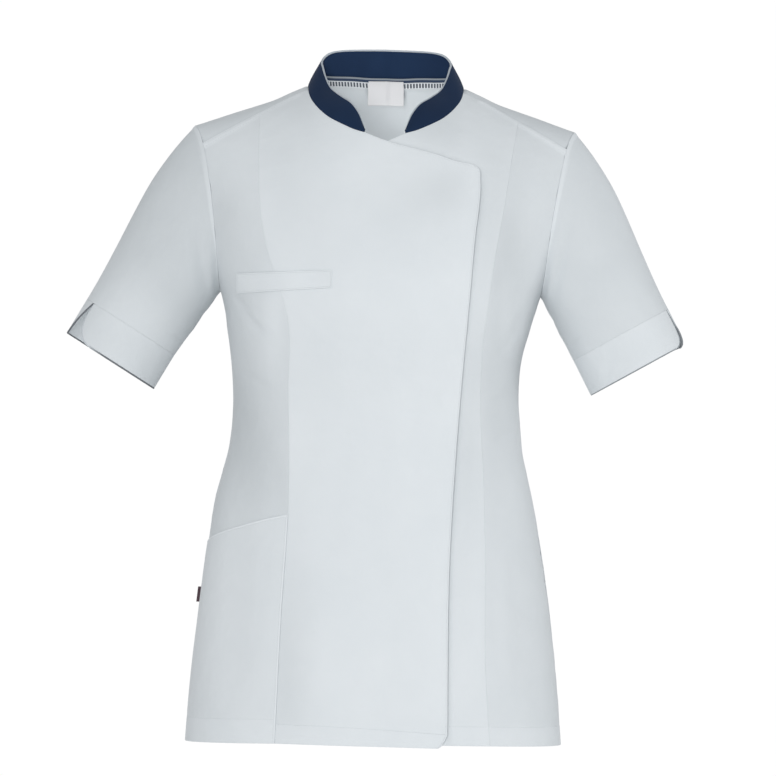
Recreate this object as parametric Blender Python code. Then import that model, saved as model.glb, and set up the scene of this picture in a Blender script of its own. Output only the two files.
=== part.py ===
"""Short-sleeved work blouse, filled out as if worn: thin cloth walls round an open hollow.

The origin is in the middle of the neck opening, level with the two points where the shoulders meet the collar.
The wearer faces -Y and their left is +X. The tables below are in millimetres.
"""

import math

import bmesh
import bpy
import numpy as np

MM = 0.001
RIGHT, LEFT = -1, 1  # the wearer's side, as the sign of X
FRONT, BACK = -1, 1  # as the sign of Y


def table(columns, *rows):
    """Rows of millimetres as one array of metres for each named column."""
    return {name: MM * np.array(values, float) for name, values in zip(columns.split(), zip(*rows))}


# Cloth
WALL = 1.2 * MM
BAND_WALL = 1.8 * MM
COLLAR_WALL = 2.4 * MM
TRIM_WALL = 1.0 * MM
SEAM_GAP = 0.3 * MM
PIPING_RADIUS = 1.1 * MM
OVER_GAP = 0.6 * MM  # between a panel and a piece that lies on it
ANGLE_STEP, LENGTH_STEP = 0.01, 0.5 * MM  # over which a surface's slope is taken
SHARP_ANGLE = math.radians(40)  # edges sharper than this aren't shaded as round

# Level sections of the body, from the neck to the hem. Above the armpit the half width is that of the body
# under the sleeve, so the walls end at the armhole before they reach it.
BODY = table(
    "height half_width front back shift",
    (30, 222, 56, 70, 0),
    (0, 222, 74, 78, 0),
    (-45, 216, 88, 92, 0),
    (-100, 206, 105, 104, 0),
    (-140, 196, 116, 107, -0.5),
    (-180, 184, 124, 106, -1),
    (-200, 176, 127, 105, -1.3),
    (-218, 168, 128, 103.5, -1.6),
    (-235, 163, 128, 101, -2),
    (-258, 158, 125, 97, -3.6),
    (-283, 153, 119, 92, -5),
    (-308, 150.4, 113, 88, -5),
    (-331, 149.9, 108, 86, -4.4),
    (-357, 151.4, 106, 87, -3.6),
    (-382, 154.4, 106, 90, -3.9),
    (-407, 160.2, 107.5, 95, -4.1),
    (-433, 166.6, 110, 101, -4.4),
    (-458, 170.9, 112.5, 107, -3.8),
    (-508, 178.4, 118, 117, -2.5),
    (-559, 184.8, 123, 124, -1.5),
    (-609, 190.4, 126.5, 129, -1.1),
    (-660, 194.7, 129, 133, -0.6),
    (-695, 196.7, 131, 135, -0.2),
)
SQUARENESS = 2.3  # 2 is an ellipse, more is squarer

# The top line of the shoulder, seen from the front
SHOULDER = table(
    "out height",
    (0, 28),
    (30, 22),
    (60, 10),
    (82, 0),
    (100, -8),
    (117, -16),
    (135, -22.3),
    (160, -30.6),
    (180, -37.6),
    (198.5, -44),
    (215, -49.5),
)
SHOULDER_ROUND = 100 * MM  # the drop over which the shoulder reaches the full depth of the body

# The armhole seam, seen from the front
ARMHOLE = table(
    "height out",
    (-218, 168),
    (-202, 170),
    (-166, 173.6),
    (-134, 177.5),
    (-92, 184),
    (-64, 190),
    (-50, 194.8),
    (-44, 198.5),
)
ARMHOLE_STEPS = 28  # round the armhole, counted from the shoulder line to the back
FRONT_YOKE_STEP, BACK_YOKE_STEP = -3, 5

# Seams on the fronts, seen from the front
PRINCESS = {
    RIGHT: table(
        "height out",
        (-685, 102.5),
        (-558, 98.5),
        (-449, 93.5),
        (-330, 95.5),
        (-232, 100.5),
        (-217, 105.5),
        (-169, 121.5),
        (-85, 131),
        (-31, 131),
    ),
    LEFT: table(
        "height out",
        (-685, 120),
        (-558, 111.5),
        (-495, 110.5),
        (-411, 107),
        (-327, 104),
        (-264, 106),
        (-195, 114),
        (-122, 126),
        (-66, 134),
        (-36, 139),
    ),
}
YOKE_SEAM = table("out height", (82, -7), (92, -11.5), (106, -17.5), (150, -41), (190, -63))
BACK_SEAM_RISE = 6 * MM  # the back yoke seam is higher in the middle
OVERLAP_EDGE = table(
    "height across",
    (-690, 76),
    (-495, 75),
    (-359, 81),
    (-211, 91.5),
    (-160, 95.2),
    (-110, 100),
    (-86, 99.5),
)
OVERLAP_TOP = table(
    "across height", (-21.4, -50.7), (3, -59.6), (33, -67), (54, -72.4), (74, -79), (92, -82.5), (99.5, -86)
)
UNDERLAP_TOP = table("across height", (21.4, -50.7), (3, -59.2), (-30, -69))
HEM_SIDE, HEM_FRONT, HEM_BACK = -688 * MM, -685 * MM, -690 * MM
HEM_TILT = 1.2 * MM  # higher on the left side and lower on the right
OVERLAP_DROP = 3 * MM  # the overlap's hem hangs lower than the one beneath it
OVERLAP_LIFT = 2.4 * MM
LIFT_START, LIFT_END = -56 * MM, -42 * MM
CORNER_ROUND = 10 * MM

# Heights of the rows of faces below the armpit
ROWS = MM * np.array([-652, -612, -568, -522, -477, -436, -398, -362, -328, -292, -255], float)
SIDE_COLUMNS = 6  # of faces, from the side or the armhole to the princess seam
YOKE_NECK_COLUMNS = 3  # from the princess seam to the collar
NECK_COLUMNS = 8  # from the yoke along the neckline to the collar's end
OVERLAP_COLUMNS, UNDERLAP_COLUMNS = 7, 3
BACK_COLUMNS = 20
YOKE_COLLAR_COLUMNS = 9  # along each half of the back neckline

# The collar, from its front end round to the middle of the back: its seam and its rim
COLLAR = table(
    "neck_out neck_height rim_out rim_back rim_height",
    (21.4, -50.7, 20.8, -80, -48),
    (27, -49.2, 23, -77, -42),
    (35, -46.6, 28.2, -69, -30),
    (48.5, -40.4, 36.4, -59, -19.4),
    (62, -32.6, 47.2, -46, -12.2),
    (72.9, -22.2, 58.2, -28, -3),
    (79.9, -11, 64.4, -12, 9.6),
    (82, -0.6, 67.8, 5, 20),
    (80.5, 0.3, 69.3, 16, 24.5),
    (75, 1, 67.6, 26, 29),
    (65, 1.7, 60.2, 35, 34.6),
    (50, 2.6, 48, 42, 37.5),
    (25, 3.6, 25, 48, 39),
    (0, 4, 0, 50, 39.5),
)
NECK_TURN_ROW = 7  # the last row of the collar that is in front of the shoulder line
YOKE_NECK_ROW = 6.4  # where the yoke's front seam meets the collar
COLLAR_ROWS = 4
COLLAR_BULGE = 1.5 * MM

# Folds in the body, long soft ridges, or troughs where the depth is negative
FOLDS = table(
    "top_across top_height low_across low_height half_width depth behind",
    (-140, -350, -152, -660, 20, -3.0, 0),
    (-60, -300, -78, -420, 24, -1.2, 0),
    (112, -300, 100, -640, 17, 2.6, 0),
    (150, -420, 165, -670, 22, -2.6, 0),
    (-70, -330, -105, -660, 26, -3.2, 1),
    (64, -340, 92, -650, 26, -2.8, 1),
    (2, -380, 6, -640, 34, 2.2, 1),
)

# Sleeves: the two ends of the hem seen from the front, and the slit's edges at its foot in degrees round the
# sleeve from the outside to the front
SLEEVES = {
    RIGHT: {"name": "right", "outer": (-329.5, -263.2), "inner": (-237, -320.3), "lean": 30, "slit": (36, 4)},
    LEFT: {"name": "left", "outer": (319, -263.3), "inner": (220.8, -319.5), "lean": 27.6, "slit": (14, -10)},
}
SLEEVE_DEPTH = 57 * MM  # half of the sleeve from front to back
SLEEVE_FORWARD = 5 * MM
SLEEVE_CAP = 8 * MM  # how far the sleeve's head stands out from a straight line
SLEEVE_ROWS = 7
CUFF_DEPTH = 40 * MM
CUFF_SLANT = 1 * MM  # the band hangs lower at the back than at the front
CUFF_ROUND_FRONT, CUFF_ROUND_BACK = 18 * MM, 6 * MM
SLIT_WIDTH = 7  # degrees, at its top
CUFF_COLUMNS = 30
CUFF_LEVELS = MM * np.array([40, 28, 18, 10, 4, 1, 0], float)  # above the hem

# Pieces that lie on the panels
WELT = table("across top bottom", (-151, -199.5, -220.5), (-52, -195, -213.5))
WELT_COLUMNS, WELT_ROWS = 10, 2
POCKET_MOUTH_SIDE, POCKET_MOUTH_FRONT = -482 * MM, -449 * MM
NECK_RADIUS = 90 * MM  # of the back from front to back, where it turns over into the neck
TAPE = {"half_width": 60 * MM, "top": 1 * MM, "bottom": 9 * MM, "columns": 16, "rows": 1}
LABEL = {"half_width": 19 * MM, "top": 3 * MM, "bottom": 27 * MM, "columns": 5, "rows": 4}
TAG_HEIGHT = -536 * MM
TAG_LENGTH = 16 * MM
TAG_REACH = 5 * MM

COLORS = {
    "white": (0.72, 0.75, 0.77),
    "side": (0.60, 0.64, 0.67),
    "navy": (0.015, 0.034, 0.085),
    "pale_piping": (0.62, 0.64, 0.66),
    "dark_piping": (0.14, 0.15, 0.17),
    "label": (0.85, 0.86, 0.87),
    "tag": (0.05, 0.03, 0.04),
}


def curve(keys, values):
    """A smooth curve through the values at their keys."""
    order = np.argsort(keys)
    keys, values = np.asarray(keys, float)[order], np.asarray(values, float)[order]
    slopes = np.gradient(values, keys)

    def at(where):
        where = np.clip(where, keys[0], keys[-1])
        i = np.clip(np.searchsorted(keys, where) - 1, 0, len(keys) - 2)
        span = keys[i + 1] - keys[i]
        u = (where - keys[i]) / span
        ends = (1 + 2 * u) * (1 - u) ** 2 * values[i] + u * u * (3 - 2 * u) * values[i + 1]
        return ends + u * (1 - u) * span * ((1 - u) * slopes[i] - u * slopes[i + 1])

    return at


def ramp(value, start, end):
    """Rises smoothly from 0 at start to 1 at end."""
    u = np.clip((value - start) / (end - start), 0, 1)
    return u * u * (3 - 2 * u)


def unit(vectors):
    return vectors / np.linalg.norm(vectors, axis=-1, keepdims=True)


def signed_power(value, power):
    return np.sign(value) * np.abs(value) ** power


half_width = curve(BODY["height"], BODY["half_width"])
front_depth = curve(BODY["height"], BODY["front"])
back_depth = curve(BODY["height"], BODY["back"])
shift = curve(BODY["height"], BODY["shift"])
shoulder_line = curve(SHOULDER["out"], SHOULDER["height"])
armhole_out = curve(ARMHOLE["height"], ARMHOLE["out"])
yoke_seam = curve(YOKE_SEAM["out"], YOKE_SEAM["height"])
overlap_edge = curve(OVERLAP_EDGE["height"], OVERLAP_EDGE["across"])


def folded(x, y, z):
    """The point pushed out or in by the folds, away from the body's upright axis."""
    push = np.zeros(np.broadcast(x, y, z).shape)
    for top_x, top_z, low_x, low_z, width, depth, behind in zip(*FOLDS.values()):
        along = (z - top_z) / (low_z - top_z)
        middle = top_x + np.clip(along, 0, 1) * (low_x - top_x)
        ends = ramp(along, 0, 0.35) * ramp(along, 1, 0.75)
        push += ((y > 0) == (behind > 0)) * ends * depth * np.exp(-(((x - middle) / width) ** 2))
    out = x - shift(z)
    grow = 1 + push / np.maximum(np.hypot(out, y), 10 * MM)
    return np.stack([shift(z) + out * grow, y * grow, z + 0 * x], axis=-1)


def body_point(turn, z):
    """A point of the body's outer face: turn 0 is the middle of the front, a quarter turn the left side."""
    x = shift(z) + half_width(z) * signed_power(np.sin(turn), 2 / SQUARENESS)
    depth = np.where(np.cos(turn) > 0, front_depth(z), back_depth(z))
    drop = np.clip((shoulder_line(np.abs(x)) - z) / SHOULDER_ROUND, 0, 1)
    reach = np.sqrt(1 - (1 - drop) ** 2)
    return folded(x, -depth * signed_power(np.cos(turn), 2 / SQUARENESS) * reach, z)


def shoulder_point(x, roll):
    """The same face near the shoulder line: roll 0 is on that line, and a quarter turn has the full depth."""
    quarter = math.pi / 2
    below = np.maximum(np.abs(roll) - quarter, 0)
    over = np.clip(roll, -quarter, quarter)
    z = shoulder_line(np.abs(x)) - SHOULDER_ROUND * (1 - np.cos(over) + below)
    depth = np.where(roll < 0, front_depth(z), back_depth(z))
    across = np.clip(np.abs(x - shift(z)) / half_width(z), 0, 1)
    return folded(x, np.sin(over) * depth * (1 - across**SQUARENESS) ** (1 / SQUARENESS), z)


def turn_at(x, z):
    """The turn of the front's point at x and z."""
    across = np.clip(np.abs(x - shift(z)) / half_width(z), 0, 1)
    return np.sign(x - shift(z)) * np.arcsin(across ** (SQUARENESS / 2))


def roll_at(x, z, side):
    """The roll of the front's or the back's point at x and z."""
    drop = np.maximum(shoulder_line(np.abs(x)) - z, 0) / SHOULDER_ROUND
    return side * np.where(drop < 1, np.arccos(np.clip(1 - drop, 0, 1)), math.pi / 2 + drop - 1)


def faced(surface, grid, step_u, step_v):
    """Points and outward normals of a surface over a grid of its two coordinates."""
    u, v = grid[..., 0], grid[..., 1]
    points = surface(u, v)
    across = surface(u + step_u, v) - surface(u - step_u, v)
    along = surface(u, v + step_v) - surface(u, v - step_v)
    normals = unit(np.cross(across, along))
    out = points - np.array([0, 0, ARMHOLE["height"].min()])
    out[..., 2] = np.maximum(out[..., 2], 0)
    return points, normals * np.sign(np.sum(normals * out, axis=-1, keepdims=True))


def body_cloth(grid):
    return faced(body_point, grid, ANGLE_STEP, LENGTH_STEP)


def shoulder_cloth(grid):
    return faced(shoulder_point, grid, LENGTH_STEP, ANGLE_STEP)


def rolled_normals(points, closed=False):
    """Outward normals of a grid of points that runs round a sleeve or a collar."""
    if closed:
        across = np.roll(points, -1, axis=1) - np.roll(points, 1, axis=1)
    else:
        across = np.gradient(points, axis=1)
    normals = unit(np.cross(across, np.gradient(points, axis=0)))
    out = points - points.mean(axis=(0, 1))
    return normals * np.sign(np.mean(np.sum(normals * out, axis=-1)))


def shares(edge):
    """How far along an edge each of its points is, from 0 to 1."""
    lengths = np.linalg.norm(np.diff(edge, axis=0) / np.maximum(np.ptp(edge, axis=0), MM), axis=1)
    return np.concatenate([[0], np.cumsum(lengths)]) / lengths.sum()


def patch(left, right, low, high):
    """A grid that fills four edges: left and right run up, low and high run across."""
    t = ((shares(left) + shares(right)) / 2)[:, None, None]
    s = ((shares(low) + shares(high)) / 2)[None, :, None]
    corners = (1 - t) * ((1 - s) * low[0] + s * low[-1]) + t * ((1 - s) * high[0] + s * high[-1])
    return (1 - s) * left[:, None] + s * right[:, None] + (1 - t) * low[None] + t * high[None] - corners


def drawn_in(points, gap, closed=False):
    """The grid with its outer edges drawn in by a gap."""

    def pull(edge, inside):
        return gap * unit(inside - edge)

    result = points.copy()
    result[0] += pull(points[0], points[1])
    result[-1] += pull(points[-1], points[-2])
    if not closed:
        result[:, 0] += pull(points[:, 0], points[:, 1])
        result[:, -1] += pull(points[:, -1], points[:, -2])
    return result


def material(color, roughness=0.8):
    made = bpy.data.materials.new(color)
    made.use_nodes = True
    shader = made.node_tree.nodes["Principled BSDF"]
    shader.inputs["Base Color"].default_value = (*COLORS[color], 1)
    shader.inputs["Roughness"].default_value = roughness
    shader.inputs["Metallic"].default_value = 0
    made.diffuse_color = (*COLORS[color], 1)
    return made


def add_object(name, data, color):
    data.materials.append(material(color))
    made = bpy.data.objects.new(name, data)
    bpy.context.scene.collection.objects.link(made)
    return made


def cloth(name, outer, inner, color, closed=False):
    """A wall between two grids of points, as one closed body. A closed grid is a tube."""
    rows, columns = outer.shape[:2]
    work = bmesh.new()
    near, far = ([[work.verts.new(point) for point in row] for row in grid] for grid in (outer, inner))
    steps = columns if closed else columns - 1
    pairs = [(j, (j + 1) % columns) for j in range(steps)]
    for i in range(rows - 1):
        for j, k in pairs:
            work.faces.new((near[i][j], near[i][k], near[i + 1][k], near[i + 1][j]))
            work.faces.new((far[i][j], far[i][k], far[i + 1][k], far[i + 1][j]))
    for i in (0, rows - 1):
        for j, k in pairs:
            work.faces.new((near[i][j], near[i][k], far[i][k], far[i][j]))
    for j in () if closed else (0, columns - 1):
        for i in range(rows - 1):
            work.faces.new((near[i][j], near[i + 1][j], far[i + 1][j], far[i][j]))
    bmesh.ops.recalc_face_normals(work, faces=work.faces)
    mesh = bpy.data.meshes.new(name)
    work.to_mesh(mesh)
    work.free()
    mesh.shade_smooth()
    mesh.set_sharp_from_angle(angle=SHARP_ANGLE)
    return add_object(name, mesh, color)


def panel(name, points, normals, color, lift=0, wall=WALL, inset=SEAM_GAP / 2):
    """A cloth wall whose outer face is on the points, moved out by lift."""
    outer = points + normals * np.asarray(lift)[..., None]
    cloth(name, drawn_in(outer, inset), drawn_in(outer - normals * wall, inset), color)


def piping(name, path, color):
    """A round cord along a line of points."""
    line = bpy.data.curves.new(name, "CURVE")
    line.dimensions = "3D"
    line.bevel_depth = PIPING_RADIUS
    line.bevel_resolution = 1
    line.use_fill_caps = True
    spline = line.splines.new("POLY")
    spline.points.add(len(path) - 1)
    for point, place in zip(spline.points, path):
        point.co = (*place, 1)
    add_object(name, line, color)


def edge_piping(name, edge, normals, wall, side, color):
    """A cord beside the free edge of a wall. The side is 1 where it lies to the right of the edge's run."""
    away = side * unit(np.cross(np.gradient(edge, axis=0), normals))
    path = edge - normals * wall / 2 + away * (PIPING_RADIUS + OVER_GAP)
    path[0] += 2 * PIPING_RADIUS * unit(path[1] - path[0])
    path[-1] += 2 * PIPING_RADIUS * unit(path[-2] - path[-1])
    piping(name, path, color)


def armhole_height(step):
    top, armpit = ARMHOLE["height"].max(), ARMHOLE["height"].min()
    return (top + armpit) / 2 + (top - armpit) / 2 * np.cos(2 * math.pi * np.asarray(step) / ARMHOLE_STEPS)


def armhole_x(hand, step):
    z = armhole_height(step)
    return shift(z) + hand * armhole_out(z)


def armhole_rolls(hand, steps):
    """Grid coordinates of the armhole near the shoulder line: positive steps are at the back."""
    x = armhole_x(hand, steps)
    return np.stack([x, roll_at(x, armhole_height(steps), np.where(steps < 0, FRONT, BACK))], axis=-1)


def hem_height(turn):
    middle = np.where(np.cos(turn) > 0, HEM_FRONT, HEM_BACK)
    return HEM_SIDE + (middle - HEM_SIDE) * np.cos(turn) ** 2 + HEM_TILT * np.sin(turn)


def side_edge(hand, side):
    """Turns and heights up the side seam, then up the armhole to the yoke."""
    last = FRONT_YOKE_STEP if side == FRONT else BACK_YOKE_STEP
    steps = np.arange(ARMHOLE_STEPS // 2, abs(last) - 1, -1)
    heights = armhole_height(steps)
    turns = np.abs(turn_at(armhole_x(hand, steps), heights))
    turns[0] = math.pi / 2
    turns = turns if side == FRONT else math.pi - turns
    lower = np.concatenate([[hem_height(hand * math.pi / 2)], ROWS])
    turns = hand * np.concatenate([np.full(len(lower), math.pi / 2), turns])
    return np.stack([turns, np.concatenate([lower, heights])], axis=-1)


def on_front(x, z):
    """Turns and heights of the front's points at x and z."""
    return np.stack(np.broadcast_arrays(turn_at(x, z), z), axis=-1)


neck_rows = np.arange(len(COLLAR["neck_out"]))
neck_sides = np.where(neck_rows <= NECK_TURN_ROW, FRONT, BACK)
neck_rolls = roll_at(COLLAR["neck_out"], COLLAR["neck_height"], neck_sides)
neck_out_at = curve(neck_rows, COLLAR["neck_out"])
neck_roll_at = curve(neck_rows, neck_rolls)
back_neck_roll = curve(COLLAR["neck_out"][NECK_TURN_ROW + 1 :], neck_rolls[NECK_TURN_ROW + 1 :])
rim_at = [curve(neck_rows, COLLAR[name]) for name in ("rim_out", "rim_back", "rim_height")]
front_neck = np.linspace(0, YOKE_NECK_ROW, NECK_COLUMNS + 1)
yoke_neck = np.linspace(YOKE_NECK_ROW, neck_rows[-1], YOKE_COLLAR_COLUMNS + 1)


def neck_at(hand, row):
    """The neckline's x and roll at a row of the collar table."""
    return hand * neck_out_at(row), neck_roll_at(row)


def yoke_points(hand):
    """x and z along the yoke's front seam, from the armhole to the princess seam and on to the collar."""
    end_x, end_z = armhole_x(hand, FRONT_YOKE_STEP), armhole_height(FRONT_YOKE_STEP)
    neck = shoulder_point(*neck_at(hand, YOKE_NECK_ROW))
    princess_out = PRINCESS[hand]["out"][-1]
    to_princess = np.linspace(abs(end_x), princess_out, SIDE_COLUMNS + 1)
    to_neck = np.linspace(princess_out, abs(neck[0]), YOKE_NECK_COLUMNS + 1)
    out = np.concatenate([to_princess, to_neck[1:]])
    heights = yoke_seam(out)
    heights += ramp(out, princess_out, abs(end_x)) * (end_z - heights[0])
    heights[-1] = neck[2]
    return np.stack([hand * out, heights], axis=-1)


def princess_edge(hand):
    """Turns and heights up a princess seam, in rows level with those of the side seam."""
    seam = PRINCESS[hand]
    top_x, top_z = yoke_points(hand)[SIDE_COLUMNS]
    upper = np.linspace(ARMHOLE["height"].min(), top_z, ARMHOLE_STEPS // 2 + FRONT_YOKE_STEP + 1)
    heights = np.concatenate([[HEM_FRONT], ROWS, upper])
    edge = on_front(hand * curve(seam["height"], seam["out"])(heights), heights)
    edge[0, 1] = hem_height(edge[0, 0])
    edge[-1] = on_front(top_x, top_z)
    return edge


def side_front_grid(hand):
    """Turns and heights of a side front, from the side seam to the princess seam."""
    left, right = side_edge(hand, FRONT), princess_edge(hand)
    turns = np.linspace(left[0, 0], right[0, 0], SIDE_COLUMNS + 1)
    low = np.stack([turns, hem_height(turns)], axis=-1)
    return patch(left, right, low, on_front(*yoke_points(hand)[: SIDE_COLUMNS + 1].T))


def free_edge(hand, heights):
    return overlap_edge(heights) if hand == RIGHT else np.full(len(heights), UNDERLAP_TOP["across"].min())


def centre_front_grid(hand):
    """Turns and heights of a centre front, from the princess seam to its free edge."""
    left = princess_edge(hand)
    neck = shoulder_point(*neck_at(hand, front_neck[::-1]))[:, [0, 2]]
    edge = OVERLAP_TOP if hand == RIGHT else UNDERLAP_TOP
    count = OVERLAP_COLUMNS if hand == RIGHT else UNDERLAP_COLUMNS
    across = np.linspace(edge["across"][0], edge["across"][-2 if hand == RIGHT else -1], count + 1)[1:]
    across = np.append(across, edge["across"][-1:]) if hand == RIGHT else across
    top = np.stack([across, curve(edge["across"], edge["height"])(across)], axis=-1)
    high = on_front(*np.concatenate([yoke_points(hand)[SIDE_COLUMNS:], neck[1:], top]).T)

    drop = OVERLAP_DROP if hand == RIGHT else 0
    foot, head = HEM_FRONT - drop, top[-1, 1]
    heights = foot + (left[:, 1] - left[0, 1]) / (left[-1, 1] - left[0, 1]) * (head - foot)
    right = on_front(free_edge(hand, heights), heights)
    turns = left[0, 0] + shares(high) * (right[0, 0] - left[0, 0])
    low = np.stack([turns, hem_height(turns) - drop * shares(high)], axis=-1)
    if hand == RIGHT:
        inset = CORNER_ROUND * (1 - math.sqrt(0.5))
        low[-1] = on_front(free_edge(hand, heights)[0] - inset, foot + inset)
    right[0], right[-1] = low[-1], high[-1]
    return patch(left, right, low, high)


def back_seam(x):
    """The height of the yoke's back seam."""
    end = abs(armhole_x(LEFT, BACK_YOKE_STEP))
    return armhole_height(BACK_YOKE_STEP) + BACK_SEAM_RISE * (1 - (x / end) ** 2)


def back_grid():
    """Turns and heights of the back, from the left side round to the right."""
    left, right = side_edge(LEFT, BACK), side_edge(RIGHT, BACK) + np.array([2 * math.pi, 0])
    turns = np.linspace(left[0, 0], right[0, 0], BACK_COLUMNS + 1)
    low = np.stack([turns, hem_height(turns)], axis=-1)
    x = np.linspace(armhole_x(LEFT, BACK_YOKE_STEP), armhole_x(RIGHT, BACK_YOKE_STEP), BACK_COLUMNS + 1)
    high = np.stack([math.pi - turn_at(x, back_seam(x)), back_seam(x)], axis=-1)
    return patch(left, right, low, high)


def yoke_grid():
    """x and roll of the yoke, from its front seams and the neckline to its back seam."""
    steps = np.arange(FRONT_YOKE_STEP, BACK_YOKE_STEP + 1)
    right_end, left_end = armhole_rolls(RIGHT, steps), armhole_rolls(LEFT, steps)
    halves = []
    for hand in (RIGHT, LEFT):
        x, z = yoke_points(hand)[:-1].T
        seam = np.stack([x, roll_at(x, z, FRONT)], axis=-1)
        halves.append(np.concatenate([seam, np.stack(neck_at(hand, yoke_neck), axis=-1)]))
    low = np.concatenate([halves[0], halves[1][-2::-1]])
    x = right_end[-1, 0] + shares(low) * (left_end[-1, 0] - right_end[-1, 0])
    high = np.stack([x, roll_at(x, back_seam(x), BACK)], axis=-1)
    return patch(right_end, left_end, low, high)


def cuff_point(hand, angle, above):
    """A point of the sleeve band: the angle turns from the outside to the front, above is from its hem."""
    size = SLEEVES[hand]
    outer, inner = MM * np.array(size["outer"]), MM * np.array(size["inner"])
    lean = math.radians(size["lean"])
    angle, above = np.broadcast_arrays(angle, above)
    along = above + CUFF_SLANT * np.sin(angle)
    x = (outer[0] + inner[0]) / 2 + (outer[0] - inner[0]) / 2 * np.cos(angle) - along * hand * math.sin(lean)
    z = (outer[1] + inner[1]) / 2 + (outer[1] - inner[1]) / 2 * np.cos(angle) + along * math.cos(lean)
    return np.stack([x, -SLEEVE_FORWARD - SLEEVE_DEPTH * np.sin(angle), z], axis=-1)


armhole_steps = np.arange(1 - ARMHOLE_STEPS // 2, ARMHOLE_STEPS // 2 + 1)


def sleeve_points(hand):
    """Rows of points round the sleeve, from the armhole to the band."""
    angles = -2 * math.pi * armhole_steps / ARMHOLE_STEPS
    start = shoulder_point(*armhole_rolls(hand, armhole_steps).T)
    end = cuff_point(hand, angles, CUFF_DEPTH)
    t = np.linspace(0, 1, SLEEVE_ROWS + 1)[:, None, None]
    lean = math.radians(SLEEVES[hand]["lean"])
    cap = SLEEVE_CAP * 27 / 4 * t * (1 - t) ** 2 * np.maximum(np.cos(angles), 0)[None, :, None] ** 2
    return (1 - t) * start + t * end + cap * np.array([hand * math.cos(lean), 0, math.sin(lean)])


def mitred(body, other):
    """Normals at a seam for the body's edge and the other piece's, drawn together unless they oppose."""
    part = np.clip(np.sum(body * other, axis=-1, keepdims=True) + 1, 0, 1)
    return unit(body + part * other), unit(other + part * body)


def armhole_normals(hand):
    body = shoulder_cloth(armhole_rolls(hand, armhole_steps))[1]
    body[-1] = (hand, 0, 0)
    return mitred(body, rolled_normals(sleeve_points(hand), closed=True)[0])


def armhole_rows(hand, side):
    """Normals of the rows of a panel's edge that lie on the armhole."""
    body = armhole_normals(hand)[0]
    steps = np.arange(ARMHOLE_STEPS // 2, abs(FRONT_YOKE_STEP if side == FRONT else BACK_YOKE_STEP) - 1, -1)
    steps[1:] *= side
    return body[steps - armhole_steps[0]]


def lifted(points):
    """The points of the right front brought forward where it lies over the left."""
    return points - np.array([0, 1, 0]) * OVERLAP_LIFT * ramp(points[..., :1], LIFT_START, LIFT_END)


def collar_points():
    """Rows of points up the collar, from the wearer's right end round the back to the left."""
    halves = []
    for hand in (RIGHT, LEFT):
        rows = np.concatenate([front_neck, yoke_neck[1:]])
        neck = shoulder_point(*neck_at(hand, rows))
        rim = np.stack([hand * rim_at[0](rows), rim_at[1](rows), rim_at[2](rows)], axis=-1)
        half = np.stack([neck + SEAM_GAP * unit(rim - neck), rim])
        halves.append(lifted(half) if hand == RIGHT else half)
    neck, rim = np.concatenate([halves[0], halves[1][:, -2::-1]], axis=1)
    v = np.linspace(0, 1, COLLAR_ROWS + 1)[:, None, None]
    flat = (1 - v) * neck + v * rim
    return flat + rolled_normals(flat) * COLLAR_BULGE * np.sin(math.pi * v)


def neck_normals():
    """Normals along the neckline for the body's edge and the collar's, in the collar's order."""
    rows = np.concatenate([front_neck, yoke_neck[1:]])
    right, left = (shoulder_cloth(np.stack(neck_at(hand, rows), axis=-1))[1] for hand in (RIGHT, LEFT))
    return mitred(np.concatenate([right, left[-2::-1]]), rolled_normals(collar_points())[0])


def make_body():
    for hand in (RIGHT, LEFT):
        name = SLEEVES[hand]["name"]
        points, normals = body_cloth(side_front_grid(hand))
        edge = armhole_rows(hand, FRONT)
        normals[-len(edge) :, 0] = edge
        panel(f"front_{name}_side", points, normals, "side")
        points, normals = body_cloth(centre_front_grid(hand))
        neck = neck_normals()[0][:: -hand][: NECK_COLUMNS + 1][::-1]
        normals[-1, YOKE_NECK_COLUMNS : YOKE_NECK_COLUMNS + NECK_COLUMNS + 1] = neck
        panel(f"front_{name}", lifted(points) if hand == RIGHT else points, normals, "white")
    points, normals = body_cloth(back_grid())
    for hand, column in ((LEFT, 0), (RIGHT, -1)):
        edge = armhole_rows(hand, BACK)
        normals[-len(edge) :, column] = edge
    panel("back", points, normals, "white")
    points, normals = shoulder_cloth(yoke_grid())
    for hand, column in ((RIGHT, 0), (LEFT, -1)):
        steps = np.arange(FRONT_YOKE_STEP, BACK_YOKE_STEP + 1)
        normals[:, column] = armhole_normals(hand)[0][steps - armhole_steps[0]]
    seam = SIDE_COLUMNS + YOKE_NECK_COLUMNS
    normals[0, seam:-seam] = neck_normals()[0][NECK_COLUMNS:-NECK_COLUMNS]
    panel("yoke", points, normals, "side")


def make_sleeve(hand):
    name = SLEEVES[hand]["name"]
    points = sleeve_points(hand)
    normals = rolled_normals(points, closed=True)
    normals[0] = armhole_normals(hand)[1]
    outer, inner = (drawn_in(grid, SEAM_GAP / 2, closed=True) for grid in (points, points - normals * WALL))
    cloth(f"sleeve_{name}", outer, inner, "side", closed=True)


def rounded(above, radius):
    """How far a rounded corner draws its edge in, at a height above the hem."""
    return radius - np.sqrt(radius**2 - np.maximum(radius - above, 0) ** 2)


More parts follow.
